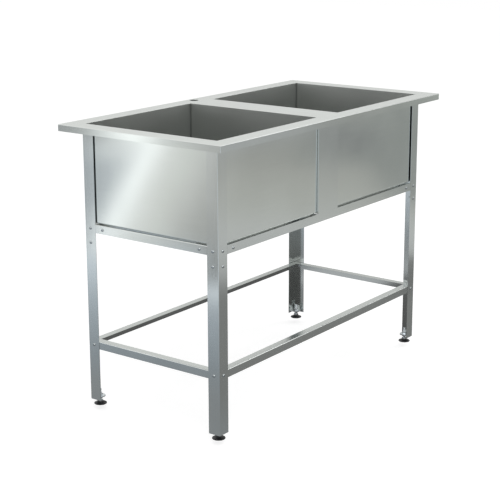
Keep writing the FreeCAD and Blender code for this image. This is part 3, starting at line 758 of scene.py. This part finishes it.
UPPER_NUT_DEPTH = 3.5  # mm behind the outer face, through both sheets
LOWER_NUT_DEPTH = 3.0
WELD_NUT_HEIGHT = 26.5
LOCK_NUT_HEIGHT = 17.5
FOOT_X = 530 * MM
FOOT_Y = 230 * MM
NUT_TURN = 1.0  # the most that a nut is turned, in radians
FLANGE_NUT = (
    plain((2.55, 0), (5.3, 0), (5.5, 0.25), (5.5, 0.6), (4.9, 1.1))
    + six_sided(4.0, (4.7, 1.15), (4.7, 3.5), (4.35, 3.85), (4.0, 4.0))
    + plain((3.0, 4.0), (2.55, 3.6), (2.55, 0))
)
FOOT_NUT = (
    plain((4.05, 0.4), (4.5, 0))
    + six_sided(6.5, (6.6, 0), (7.1, 0.3), (7.6, 0.8), (7.6, 5.7), (7.1, 6.2), (6.6, 6.5))
    + plain((4.5, 6.5), (4.05, 6.1), (4.05, 0.4))
)


def foot_place(side_x, side_y, up=0.0):
    """A place on a foot's axis, so many mm up, that looks upwards."""
    return Vector((side_x * FOOT_X, side_y * FOOT_Y, up * MM)), (0, 0, 1)


behind_upper = face_places(UPPER_SPOTS, UPPER_NUT_DEPTH, outwards=False)
behind_lower = face_places(LOWER_SPOTS, LOWER_NUT_DEPTH, outwards=False)
on_brackets = [foot_place(*signs, WELD_NUT_HEIGHT) for signs in LEG_SIGNS.values()]
under_brackets = [foot_place(*signs, LOCK_NUT_HEIGHT) for signs in LEG_SIGNS.values()]
for name, profile, places, loose, replaced in (
    ("upper_flange_nuts", FLANGE_NUT, behind_upper, NUT_TURN, "upper_frame_nuts"),
    ("lower_flange_nuts", FLANGE_NUT, behind_lower, NUT_TURN, "lower_frame_nuts"),
    ("welded_foot_nuts", FOOT_NUT, on_brackets, 0.0, "foot_weld_nuts"),
    ("foot_locking_nuts", FOOT_NUT, under_brackets, 0.0, "foot_lock_nuts"),
):
    nuts = finished_piece(name, turned_mesh(name, profile, places, zinc_plating, loose=loose))
    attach(nuts, "root")
    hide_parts(replaced)

# %% [markdown]
# ## Feet
#
# Each foot is a black flared pad with a blind socket, and a threaded stem that
# turns in it. A spanner on the stem's six-sided collar screws it up or down
# through the two nuts. A plain cone would do for the pad from afar, but its flare
# is a smooth curve, so its profile has more points than the CAD's, and the stem
# gets its real M8 thread. Pad and stem ride on their own bodies, because the stem
# turns while the pad only goes up and down.

# %% Turn the pads and stems

PAD_PROFILE = plain(
    (0, 0.8), (15, 0.8), (15.6, 0), (19.0, 0), (19.5, 0.5), (19.5, 1.9), (19.2, 2.4), (18.3, 2.8),
    (16.6, 3.2), (14.6, 3.8), (12.8, 4.6), (11.2, 5.5), (10.1, 6.4), (9.4, 7.3), (9.1, 8.2),
    (8.9, 8.8), (8.4, 9.0), (4.5, 9.0), (4.05, 8.6), (4.05, 3.0), (0, 3.0),
)  # fmt: skip
STEM_PITCH = 1.25
STEM_THREAD_DEPTH = 0.7
STEM_PROFILE = (
    plain((0, 3.3), (3.4, 3.3), (3.95, 3.9), (3.95, 9.3))
    + six_sided(7.0, (7.1, 9.3), (7.7, 9.6), (8.1, 10.1), (8.1, 12.5), (7.7, 13.0), (7.1, 13.3))
    + plain((3.4, 13.3))
    + thread(4.0, 13.6, 47.4)
    + plain((3.2, 48.3))
    + six_sided(2.0, (2.31, 48.3), (2.31, 46.3))
    + plain((0, 46.0))
)
for leg, signs in LEG_SIGNS.items():
    spot = [foot_place(*signs)]
    name = f"{leg}_flared_pad"
    pad = finished_piece(name, turned_mesh(name, PAD_PROFILE, spot, foot_plastic, segments=60))
    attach(pad, f"{leg}_pad")
    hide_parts(f"{leg}_foot_pad")
    name = f"{leg}_threaded_stem"
    stem = finished_piece(
        name,
        turned_mesh(
            name,
            STEM_PROFILE,
            spot,
            zinc_plating,
            segments=30,
            pitch=STEM_PITCH,
            depth=STEM_THREAD_DEPTH,
        ),
    )
    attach(stem, f"{leg}_stem")
    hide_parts(f"{leg}_foot_stem")

# %% [markdown]
# ## Drain holes and arms
#
# A strainer is a turned disc with a ring of drain holes, and an outlet's hub hangs
# on three arms. Both are one shape repeated round an axis. An Array modifier with
# a turned empty could do it, and a Boolean on top could cut the holes, but one
# tree does both and has its sizes as inputs. It puts blocks or pins on a circle
# and either keeps them, as arms and grip ribs, or cuts them out of the mesh that
# it is given.

# %% Build the tree that repeats round an axis

PIN_SEGMENTS = 24


def ring_tree():
    """The tree that sets blocks on a circle or drills a ring of holes."""
    tree = bpy.data.node_groups.new("ring_of_blocks", "GeometryNodeTree")
    given = inputs_and_output(
        tree,
        (
            ("Plate", "NodeSocketGeometry"),
            ("Count", "NodeSocketInt"),
            ("Circle Radius", "NodeSocketFloat"),
            ("Block Size", "NodeSocketVector"),
            ("Pin Radius", "NodeSocketFloat"),
            ("Centre", "NodeSocketVector"),
            ("Cut Holes", "NodeSocketBool"),
            ("Finish", "NodeSocketMaterial"),
        ),
    )
    circle = add_node(
        tree,
        "GeometryNodeMeshCircle",
        {"Vertices": given["Count"], "Radius": given["Circle Radius"]},
    ).outputs["Mesh"]
    outwards = add_node(tree, "GeometryNodeInputPosition").outputs["Position"]
    turn = add_node(
        tree, "FunctionNodeAlignRotationToVector", {"Vector": outwards}, axis="X"
    ).outputs["Rotation"]
    height = add_node(
        tree, "ShaderNodeSeparateXYZ", {"Vector": given["Block Size"]}
    ).outputs["Z"]
    block = add_node(
        tree, "GeometryNodeMeshCube", {"Size": given["Block Size"]}
    ).outputs["Mesh"]
    pin = add_node(
        tree,
        "GeometryNodeMeshCylinder",
        {"Vertices": PIN_SEGMENTS, "Radius": given["Pin Radius"], "Depth": height},
    ).outputs["Mesh"]
    shape = add_node(
        tree,
        "GeometryNodeSwitch",
        {"Switch": given["Cut Holes"], "False": block, "True": pin},
        input_type="GEOMETRY",
    ).outputs["Output"]
    copies = add_node(
        tree,
        "GeometryNodeInstanceOnPoints",
        {"Points": circle, "Instance": shape, "Rotation": turn},
    ).outputs["Instances"]
    real = add_node(
        tree, "GeometryNodeRealizeInstances", {"Geometry": copies}
    ).outputs["Geometry"]
    moved = add_node(
        tree,
        "GeometryNodeTransform",
        {"Geometry": real, "Translation": given["Centre"]},
    ).outputs["Geometry"]
    drilled = add_node(
        tree,
        "GeometryNodeMeshBoolean",
        {"Mesh 1": given["Plate"], "Mesh 2": moved},
        operation="DIFFERENCE",
    ).outputs["Mesh"]
    result = add_node(
        tree,
        "GeometryNodeSwitch",
        {"Switch": given["Cut Holes"], "False": moved, "True": drilled},
        input_type="GEOMETRY",
    ).outputs["Output"]
    final = add_node(
        tree, "GeometryNodeRealizeInstances", {"Geometry": result}
    ).outputs["Geometry"]
    finished = add_node(
        tree,
        "GeometryNodeSetMaterial",
        {"Geometry": final, "Material": given["Finish"]},
    ).outputs["Geometry"]
    add_node(tree, "NodeGroupOutput", {"Geometry": finished})
    return tree


ring_of_blocks = ring_tree()
print("nodes in the ring's tree:", len(ring_of_blocks.nodes))

# %% [markdown]
# ## Rings and joined meshes
#
# An outlet body is moulded in one piece, but its cup, hub, arms and ribs are easiest
# to make apart. A Boolean union could fuse them. They overlap a little inside,
# where nothing shows, so it is enough to join the closed shapes in one mesh, which
# leaves no slivers.

# %% Helpers for rings and joined meshes


def ring_mesh(name, finish, centre, count, circle, height, block, pin=1.0, plate=None):
    """Blocks on a circle, or the plate with that ring of holes; sizes in mm."""
    x, y, base = centre
    carrier = bpy.data.objects.new(name, plate or bpy.data.meshes.new(name))
    bpy.context.scene.collection.objects.link(carrier)
    modifier = carrier.modifiers.new("ring", "NODES")
    modifier.node_group = ring_of_blocks
    wanted = {
        "Count": count,
        "Circle Radius": circle * MM,
        "Block Size": [size * MM for size in block],
        "Pin Radius": pin * MM,
        "Centre": [x * MM, y * MM, (base + height) * MM],
        "Cut Holes": plate is not None,
        "Finish": finish,
    }
    fill_inputs(modifier, wanted)
    return evaluated_mesh(carrier, name)


def joined(name, meshes):
    """One mesh from several, each a closed shape; the slots are merged."""
    shape = bmesh.new()
    for mesh in meshes:
        shape.from_mesh(mesh)
    result = bpy.data.meshes.new(name)
    shape.to_mesh(result)
    shape.free()
    result.materials.append(meshes[0].materials[0])
    result.polygons.foreach_set("material_index", [0] * len(result.polygons))
    print(name, "joined from", len(meshes), "shapes")
    return result

# %% [markdown]
# ## Waste outlets
#
# A polished strainer sits in the recess of each bowl's floor, a seal on each side
# of the sheet, and a long screw pulls the strainer and the moulded cup below
# together. The strainer is dished, so that water runs to its holes. The cup has a
# threaded tail for the trap, grip ribs, and a hub on three arms that takes the
# screw. None of this shows in a view from the side, but it does from above and
# from below, so each part is made as a real one is, and not as one plug.

# %% Make the outlets

SEAT_HEIGHT = 571.0  # the recess's floor, from which the outlets' heights count
BOWL_CENTRES = {"left": -300, "right": 300}
STRAINER_PROFILE = plain(
    (3.3, 1.3), (9.0, 1.3), (10.5, 0.6), (21.0, 0.6), (24.0, 1.0), (24.0, -10.5),
    (25.5, -10.5), (25.5, 1.0), (26.5, 1.5), (35.4, 1.5), (36.0, 2.0), (36.0, 2.5),
    (35.4, 3.0), (27.5, 3.0), (25.5, 2.7), (22.5, 2.0), (10.5, 2.0), (9.0, 3.0),
    (3.3, 3.0), (3.3, 1.3),
)  # fmt: skip
TAIL_PITCH = 2.309
TAIL_THREAD_DEPTH = 1.3
OUTLET_PROFILE = (
    plain((26.5, -2.5), (35.6, -2.5), (36.0, -2.9), (36.0, -5.1), (35.6, -5.5), (31.0, -5.5))
    + plain((29.5, -7.0), (29.5, -33.0), (28.6, -34.8), (26.8, -35.5), (23.9, -35.5))
    + thread(23.9, -37.0, -74.0)
    + plain((22.9, -75.5), (20.9, -75.5), (20.9, -32.5), (26.5, -32.5), (26.5, -2.5))
)
HUB_PROFILE = plain(
    (3.05, -32.5), (6.6, -32.5), (7.0, -32.1), (7.0, -21.0), (6.5, -20.5), (3.05, -20.5),
    (3.05, -32.5),
)  # fmt: skip
CLAMP_THREAD_DEPTH = 0.55
CLAMP_PROFILE = (
    plain((0, -33.0), (2.5, -33.0))
    + thread(3.0, -32.5, -12.0)
    + plain((3.0, -11.0), (3.0, 3.0), (5.8, 3.0), (6.0, 3.25), (5.8, 3.8), (5.1, 4.3))
    + plain((4.0, 4.55), (2.6, 4.6))
    + six_sided(2.0, (2.31, 4.6), (2.31, 3.4))
    + plain((0, 3.3))
)
DRAIN_HOLES = {"count": 8, "circle": 16, "height": 1.5, "block": (1, 1, 8), "pin": 4}
HUB_ARMS = {"count": 3, "circle": 16.75, "height": -29.5, "block": (20.3, 3, 6)}
GRIP_RIBS = {"count": 12, "circle": 30.2, "height": -18.5, "block": (3, 2, 22)}


def seal_profile(base):
    """A flat ring with softened edges, 1.5 mm thick."""
    return plain(
        (27.5, base + 0.3), (27.8, base), (34.7, base), (35.0, base + 0.3), (35.0, base + 1.2),
        (34.7, base + 1.5), (27.8, base + 1.5), (27.5, base + 1.2), (27.5, base + 0.3),
    )  # fmt: skip


def outlet_piece(name, mesh, replaced):
    """A finished piece of an outlet, which rides on the frame."""
    piece = finished_piece(name, mesh)
    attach(piece, "root")
    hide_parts(replaced)


for side, centre_x in BOWL_CENTRES.items():
    axis = [(Vector((centre_x * MM, 0, SEAT_HEIGHT * MM)), (0, 0, 1))]
    centre = (centre_x, 0, SEAT_HEIGHT)
    disc = turned_mesh(f"{side}_disc", STRAINER_PROFILE, axis, polished_steel, segments=72)
    name = f"{side}_dished_strainer"
    strainer = ring_mesh(name, polished_steel, centre, plate=disc, **DRAIN_HOLES)
    outlet_piece(name, strainer, f"{side}_strainer")
    for level, base in (("upper", 0.0), ("lower", -2.5)):
        name = f"{side}_{level}_ring_seal"
        ring = turned_mesh(name, seal_profile(base), axis, seal_rubber, segments=60)
        outlet_piece(name, ring, f"{side}_{level}_seal")
    name = f"{side}_threaded_outlet"
    body = turned_mesh(
        name,
        OUTLET_PROFILE,
        axis,
        outlet_plastic,
        segments=60,
        pitch=TAIL_PITCH,
        depth=TAIL_THREAD_DEPTH,
    )
    hub = turned_mesh(f"{side}_hub", HUB_PROFILE, axis, outlet_plastic)
    arms = ring_mesh(f"{side}_arms", outlet_plastic, centre, **HUB_ARMS)
    ribs = ring_mesh(f"{side}_ribs", outlet_plastic, centre, **GRIP_RIBS)
    outlet = joined(name, [body, hub, arms, ribs])
    outlet_piece(name, outlet, f"{side}_outlet_body")
    name = f"{side}_clamping_screw"
    screw = turned_mesh(name, CLAMP_PROFILE, axis, polished_steel, depth=CLAMP_THREAD_DEPTH)
    outlet_piece(name, screw, f"{side}_clamp_screw")

# %% [markdown]
# ## The studio's light
#
# The photograph has a plain white ground with almost no shadow. The world is
# therefore white for the camera, at a strength of 1. It could be as white for
# everything, but then its soft light would wash the plastic and the rubber out, so
# it is weaker for soft light, by the kind of ray that asks.

# %% Make the white world

SOFT_LIGHT = 0.62


def seen_directly(tree):
    """1 for rays from the camera, a gloss or a glass, 0 for soft light."""
    path = add_node(tree, "ShaderNodeLightPath").outputs
    gloss = add_node(
        tree, MATH, [path["Is Camera Ray"], path["Is Glossy Ray"]], operation="MAXIMUM"
    ).outputs[0]
    return add_node(
        tree, MATH, [gloss, path["Is Transmission Ray"]], operation="MAXIMUM"
    ).outputs[0]


world = bpy.data.worlds.new("white_studio")
bpy.context.scene.world = world
world.use_nodes = True
sky = world.node_tree
sky.nodes.clear()
sky_strength = add_node(
    sky, "ShaderNodeMapRange", {"Value": seen_directly(sky), "To Min": SOFT_LIGHT, "To Max": 1.0}
).outputs["Result"]
sky_light = add_node(
    sky, "ShaderNodeBackground", {"Color": linear("#FFFFFF"), "Strength": sky_strength}
).outputs["Background"]
add_node(sky, "ShaderNodeOutputWorld", {"Surface": sky_light})
print("the world's soft light:", SOFT_LIGHT)

# %% [markdown]
# ## A row of colours
#
# The floor and some of the cards below change colour along a line. A picture of a
# gradient could do it, but a Color Ramp needs no file, and its stops can be written
# as distances in metres with a colour each.

# %% Grade a colour along a row of stops


def graded(tree, value, stops):
    """A colour that changes along a row of stops, each a value and a colour."""
    low = stops[0][0]
    high = stops[-1][0]
    share = add_node(
        tree, "ShaderNodeMapRange", {"Value": value, "From Min": low, "From Max": high}
    ).outputs["Result"]
    ramp = add_node(tree, "ShaderNodeValToRGB", {"Fac": share})
    steps = ramp.color_ramp.elements
    while len(steps) < len(stops):
        steps.new(1.0)
    for step, (place, colour) in zip(steps, stops):
        step.position = (place - low) / (high - low)
        step.color = linear(colour)
    print("graded from", low, "to", high, "in", len(stops), "stops")
    return ramp.outputs["Color"]

# %% [markdown]
# ## The studio's floor
#
# Brushed steel has no colour of its own to speak of: it shows what stands round
# it. So what the gloss sees of the floor matters more than the lamps. A plain
# white floor would leave the legs white. This one is white to the camera, but to a
# gloss it is dark grey near the unit, a painted shadow of the unit, pale beyond and
# grey again further out, which gives the legs their dark feet and their lighter
# band. It is bluer to the rear left, as the faces that look there are. It lies as
# low as the feet reach when they are screwed right down, so that they show at every
# pose; on the white ground the small step under them at rest isn't seen.

# %% Lay the floor

HALF_FLOOR = 14.0
FOOT_TRAVEL = 18 * MM  # the feet's way down
FLOOR_LEVEL = -FOOT_TRAVEL - 0.5 * MM
FLOOR_GLOW = 0.70
SIDE_BLEND = 0.3
# What a gloss sees of the floor: distance from the middle in metres, and colour.
# In both rows the dark greys near the middle are a painted shadow of the unit.
FLOOR_FRONT_RIGHT = [
    (0.0, "#898A89"),
    (1.4, "#8E8F8E"),
    (1.57, "#C3C5C5"),
    (2.22, "#D5D7D7"),
    (2.77, "#C7C9C5"),
    (3.57, "#C0C1BD"),
    (4.17, "#B4B5B1"),
    (4.87, "#A9AAA7"),
    (6.57, "#A9AAA7"),
    (9.0, "#F2F5EF"),
]
FLOOR_REAR_LEFT = [
    (0.0, "#919598"),
    (0.82, "#9A9EA1"),
    (1.1, "#9EA6AD"),
    (1.37, "#ACB5BD"),
    (1.62, "#B9C2CB"),
    (1.87, "#CBD4DD"),
    (2.27, "#E8F3FE"),
    (9.0, "#EFF3F8"),
]


def floor_gloss(tree):
    """The floor as a gloss sees it: two rows of greys, one on each side."""
    place = add_node(tree, "ShaderNodeTexCoord").outputs["Object"]
    away = add_node(
        tree, "ShaderNodeVectorMath", [place], operation="LENGTH"
    ).outputs["Value"]
    at = add_node(tree, "ShaderNodeSeparateXYZ", {"Vector": place}).outputs
    rightwards = add_node(tree, MATH, [at["X"], at["Y"]], operation="SUBTRACT").outputs[0]
    side = add_node(
        tree,
        "ShaderNodeMapRange",
        {"Value": rightwards, "From Min": -SIDE_BLEND, "From Max": SIDE_BLEND},
    ).outputs["Result"]
    return add_node(
        tree,
        "ShaderNodeMixRGB",
        {
            "Fac": side,
            "Color1": graded(tree, away, FLOOR_REAR_LEFT),
            "Color2": graded(tree, away, FLOOR_FRONT_RIGHT),
        },
    ).outputs["Color"]


def floor_material():
    """White to the camera, with the unit's soft shadow; graded grey to a gloss, darkest near the
    unit as its painted shadow.
    """
    material, tree = new_material("studio_floor")
    path = add_node(tree, "ShaderNodeLightPath").outputs
    to_gloss = add_node(
        tree, "ShaderNodeEmission", {"Color": floor_gloss(tree), "Strength": 1.0}
    ).outputs["Emission"]
    glow = add_node(
        tree, "ShaderNodeEmission", {"Color": linear("#FFFFFF"), "Strength": FLOOR_GLOW}
    ).outputs["Emission"]
    matt = add_node(
        tree, "ShaderNodeBsdfDiffuse", {"Color": linear("#C0C0C0")}
    ).outputs["BSDF"]
    lit = add_node(tree, "ShaderNodeAddShader", [glow, matt]).outputs["Shader"]
    soft = add_node(
        tree, "ShaderNodeMixShader", [path["Is Diffuse Ray"], lit, matt]
    ).outputs["Shader"]
    mixed = add_node(
        tree, "ShaderNodeMixShader", [path["Is Glossy Ray"], soft, to_gloss]
    ).outputs["Shader"]
    add_node(tree, "ShaderNodeOutputMaterial", {"Surface": mixed})
    return material


def stage_plate(name, corners, material):
    """A flat plate of the studio."""
    mesh = bpy.data.meshes.new(name)
    mesh.from_pydata([tuple(c) for c in corners], [], [range(len(corners))])
    mesh.materials.append(material)
    plate = bpy.data.objects.new(name, mesh)
    bpy.context.scene.collection.objects.link(plate)
    return plate


stage_plate(
    "studio_floor",
    [
        (x * HALF_FLOOR, y * HALF_FLOOR, FLOOR_LEVEL)
        for x, y in ((-1, -1), (1, -1), (1, 1), (-1, 1))
    ],
    floor_material(),
)
print("floor level in mm:", FLOOR_LEVEL / MM)

# %% [markdown]
# ## Light cards
#
# Cards stand outside the picture, where the steel mirrors them: bright or grey
# sheets of paper, upright on stands or flat on the floor. A photographer shapes the
# gloss of metal with such cards, and lamps alone would only add white spots. The
# camera doesn't see them, and they give no soft light, so they change only the
# gloss. Each was placed by mirroring the camera in a face of the unit and following
# the line of sight on to where it ends.

# %% Helpers for light cards


def light_card(name, corners, colours, strength, along=None, centre=None):
    """A glowing card: of one colour, or graded along a direction.

    With a centre it is graded outwards, and comes with two directions; each is one
    over the reach that way.
    """
    material, tree = new_material(name)
    if along is None:
        colour = linear(colours)
    else:
        place = add_node(tree, "ShaderNodeTexCoord").outputs["Object"]
        if centre:
            place = add_node(
                tree, "ShaderNodeVectorMath", [place, centre], operation="SUBTRACT"
            ).outputs["Vector"]
        reaches = [
            add_node(
                tree, "ShaderNodeVectorMath", [place, way], operation="DOT_PRODUCT"
            ).outputs["Value"]
            for way in along
        ]
        reach = reaches[0]
        if centre:
            squares = [
                add_node(tree, MATH, [item, item], operation="MULTIPLY").outputs[0]
                for item in reaches
            ]
            total = add_node(tree, MATH, squares, operation="ADD").outputs[0]
            reach = add_node(tree, MATH, [total], operation="SQRT").outputs[0]
        colour = graded(tree, reach, colours)
    glow = add_node(
        tree, "ShaderNodeEmission", {"Color": colour, "Strength": strength}
    ).outputs["Emission"]
    add_node(tree, "ShaderNodeOutputMaterial", {"Surface": glow})
    card = stage_plate(name, corners, material)
    card.visible_camera = False
    card.visible_diffuse = False
    card.visible_shadow = False
    print("card:", name)


def standing_corners(bearing, distance, left, right, low, high):
    """Corners of an upright card that faces the unit, bearing from +Y towards +X."""
    turn = math.radians(bearing)
    ahead = Vector((math.sin(turn), math.cos(turn), 0))
    leftwards = Vector((-math.cos(turn), math.sin(turn), 0))
    up = Vector((0, 0, 1))
    return [
        ahead * distance + leftwards * side + up * height
        for side, height in ((left, low), (right, low), (right, high), (left, high))
    ]


def floor_corners(*spots, lift=4 * MM):
    """Corners of a card that lies just above the floor."""
    return [(x, y, FLOOR_LEVEL + lift) for x, y in spots]

# %% [markdown]
# ## Cards to the rear left
#
# The left end and the left legs mirror what stands to the rear left. The streak
# card makes the slanting streak on the left end, and the patch card in front of it
# the pale patch at its top. The fascia card makes the bright middle of the left
# turned-down edge, and the high one the bright line along every edge that faces
# left. Near the unit, on the floor, a bright patch and its shade give the near leg
# its one bright stretch. A streak painted into the steel would be simpler, but it
# would stay where it is when the view changes.

# %% Stand the cards to the rear left

STREAK = [
    (-1.4, "#858685"),
    (-0.6, "#878887"),
    (-0.5, "#8E8F8E"),
    (-0.44, "#989998"),
    (-0.4, "#A5A6A5"),
    (-0.29, "#B4B6B4"),
    (-0.21, "#B9BAB9"),
    (-0.17, "#C1C4C5"),
    (-0.145, "#F3F6F7"),
    (-0.1, "#F3F6F7"),
    (-0.068, "#A2A8AD"),
    (-0.04, "#94999E"),
    (0.05, "#969BA0"),
    (0.12, "#9BA0A5"),
    (0.3, "#9EA4A9"),
    (1.0, "#A4AAAF"),
]
FASCIA = [
    (-0.8, "#9A9C9D"),
    (-0.62, "#9FA1A2"),
    (-0.54, "#ADB0B1"),
    (-0.46, "#DADDDE"),
    (-0.4, "#FCFFFF"),
    (-0.33, "#FCFFFF"),
    (-0.26, "#D4D7D8"),
    (-0.2, "#ADB0B1"),
    (-0.14, "#959798"),
    (-0.06, "#8B8D8E"),
    (0.3, "#8B8D8E"),
]
ALONG_CARD = (0.656, 0.755, 0.0)
ACROSS_STREAK = (0.656, 0.755, 0.5)  # along the card and up: the streak slants
PATCH_SPOTS = ((-1.79, 0.47), (-1.92, 0.56), (-1.74, 0.8), (-1.62, 0.72))
SHADE_SPOTS = ((-1.98, 0.56), (-2.44, 0.89), (-2.24, 1.18), (-1.77, 0.84))
for name, corners, colours, strength, along in (
    (
        "graded_rear_left_card",
        standing_corners(-49, 2.3, 1.3, -1.0, 0.02, 0.95),
        STREAK,
        2.0,
        [ACROSS_STREAK],
    ),
    (
        "pale_patch_card",
        standing_corners(-49, 2.27, 0.31, 0.13, 0.44, 0.54),
        "#E7EBEE",
        1.2,
        None,
    ),
    (
        "grey_leg_card",
        standing_corners(-49, 2.27, 0.082, -0.12, 0.02, 0.50),
        "#ACB3B9",
        1.0,
        None,
    ),
    ("leg_patch_card", floor_corners(*PATCH_SPOTS), "#E9EFF6", 1.5, None),
    ("leg_shade_card", floor_corners(*SHADE_SPOTS), "#A3A6A6", 1.0, None),
    (
        "fascia_light_card",
        standing_corners(-49, 2.25, 1.1, -0.3, 0.52, 0.80),
        FASCIA,
        1.7,
        [ALONG_CARD],
    ),
    (
        "edge_light_card",
        standing_corners(-50, 2.6, 1.5, -1.3, 1.15, 4.2),
        "#FFFFFF",
        1.3,
        None,
    ),
):
    light_card(name, corners, colours, strength, along)

# %% [markdown]
# ## Cards to the right
#
# The top mirrors what stands low to the rear right, and one graded card keeps it
# an even light grey. A high card beside it keeps the fold along the front from
# shining. The front mirrors the floor to the right: a grey card there with a soft
# darker spot and a paler card beyond it shade the front between its left and its
# right, and a small one shades the foot of the far leg. A dark and a pale card
# under and behind the unit shade the insides of the lower rails. One more lamp
# would do none of this, because a lamp lights all faces at once.

# %% Stand the cards to the right

REAR_RIGHT = [
    (0.0, "#383838"),
    (0.72, "#383838"),
    (0.84, "#CACBCA"),
    (0.95, "#DBDDDB"),
    (1.1, "#E0E2E0"),
    (1.2, "#E4E6E4"),
    (1.3, "#E7E8E7"),
    (1.4, "#E9EBE9"),
    (1.48, "#F3F5F3"),
    (1.56, "#EEF0EE"),
    (1.7, "#E8EAE8"),
    (2.0, "#F2F3F2"),
]
UPWARDS = (0.0, 0.0, 1.0)
light_card(
    "dim_edge_card", standing_corners(100, 3.6, 2.1, -2.6, 2.05, 5.0), "#B8BABB", 1.0
)
light_card(
    "graded_rear_right_card",
    standing_corners(53, 3.0, 1.3, -2.2, 0.02, 2.0),
    REAR_RIGHT,
    1.0,
    along=[UPWARDS],
)
for name, colour, *spots in (
    ("grey_right_card", "#A4A8A6", (2.47, -1.51), (2.86, -0.5), (6.9, -1.2), (6.1, -3.95)),
    ("pale_front_card", "#C1C5C9", (2.5, -3.06), (4.25, -3.06), (4.6, -4.2), (2.5, -4.6)),
    (
        "shade_under_unit_card",
        "#5D5D5D",
        (-0.48, -0.22),
        (0.9, -0.25),
        (1.75, -0.56),
        (1.9, -0.1),
        (1.0, 0.2),
        (-0.48, 0.2),
    ),
    ("pale_rear_card", "#C5C8CB", (-0.4, 0.2), (0.15, 0.2), (0.15, 0.58), (-0.4, 0.58)),
    ("far_leg_shade_card", "#848584", (1.0, -0.66), (1.12, -0.46), (1.62, -0.72), (1.52, -0.95)),
):
    light_card(name, floor_corners(*spots), colour, 1.0)

SPOT_LIFT = 8 * MM  # over the grey card
SPOT = [(0.0, "#848689"), (0.45, "#8E9092"), (1.0, "#A4A8A6")]
SPOT_DIRECTIONS = [(1.13, -0.71, 0.0), (2.4, 3.83, 0.0)]
light_card(
    "soft_dark_spot_card",
    floor_corners((2.96, -2.44), (3.26, -1.94), (4.86, -2.79), (4.56, -3.29), lift=SPOT_LIFT),
    SPOT,
    1.0,
    along=SPOT_DIRECTIONS,
    centre=(3.9, -2.62, FLOOR_LEVEL + SPOT_LIFT),
)

# %% [markdown]
# ## Lamps
#
# Two large soft lamps keep the light plain: one high in front and to the left, one
# weaker to the right. They matter to the plastic, the rubber and the shadows, and
# add a soft sheen to the steel. Small or strong lamps would draw hard shadows,
# which the photograph doesn't have.

# %% Hang the lamps

LAMP_AIM = Vector((0, 0, 0.5))


def soft_lamp(name, place, size, power):
    """A square lamp at a place that looks at the middle of the unit."""
    lamp = bpy.data.lights.new(name, "AREA")
    lamp.shape = "SQUARE"
    lamp.size = size
    lamp.energy = power
    holder = bpy.data.objects.new(name, lamp)
    holder.location = place
    holder.rotation_mode = "QUATERNION"
    holder.rotation_quaternion = (LAMP_AIM - Vector(place)).to_track_quat("-Z", "Y")
    bpy.context.scene.collection.objects.link(holder)
    print("lamp:", name, power, "W")


soft_lamp("high_left_lamp", (-2.6, -2.4, 3.4), 2.4, 60)
soft_lamp("right_lamp", (3.2, -1.6, 2.8), 2.0, 25)

# %% [markdown]
# ## The camera
#
# The photograph looks at the front left corner from a little above the rim. The
# camera could be set by eye, but its place and lens were fitted to about fifty
# corners and edges of the unit in the picture. Its uprights stand parallel, which a
# strong lens shift would give, but a shift moves the unit out of every other view,
# so only a small one is used.

# %% Set the camera

CAMERA_PLACE = Vector((-3.26861, -2.37221, 1.49080))
CAMERA_TURN = 0.933273  # from +Y towards +X
CAMERA_PITCH = 0.238018  # downwards
CAMERA_ROLL = -0.002706
CAMERA_SHIFT = -0.05
FOCAL_PIXELS = 1298.33
PICTURE_WIDTH = 500
SENSOR_WIDTH = 36.0

camera_data = bpy.data.cameras.new("camera")
camera_data.sensor_fit = "AUTO"
camera_data.sensor_width = SENSOR_WIDTH
camera_data.lens = FOCAL_PIXELS * SENSOR_WIDTH / PICTURE_WIDTH
camera_data.shift_y = CAMERA_SHIFT
camera = bpy.data.objects.new("camera", camera_data)
bpy.context.scene.collection.objects.link(camera)
ahead = Vector(
    (
        math.sin(CAMERA_TURN) * math.cos(CAMERA_PITCH),
        math.cos(CAMERA_TURN) * math.cos(CAMERA_PITCH),
        -math.sin(CAMERA_PITCH),
    )
)
level = Vector((math.cos(CAMERA_TURN), -math.sin(CAMERA_TURN), 0))
upward = level.cross(ahead)
right = level * math.cos(CAMERA_ROLL) + upward * math.sin(CAMERA_ROLL)
up = upward * math.cos(CAMERA_ROLL) - level * math.sin(CAMERA_ROLL)
turn = Matrix((right, up, -ahead)).transposed()
camera.matrix_world = Matrix.Translation(CAMERA_PLACE) @ turn.to_4x4()
bpy.context.scene.camera = camera
bpy.context.scene.view_settings.view_transform = "Standard"
print("lens in mm:", round(camera_data.lens, 2))
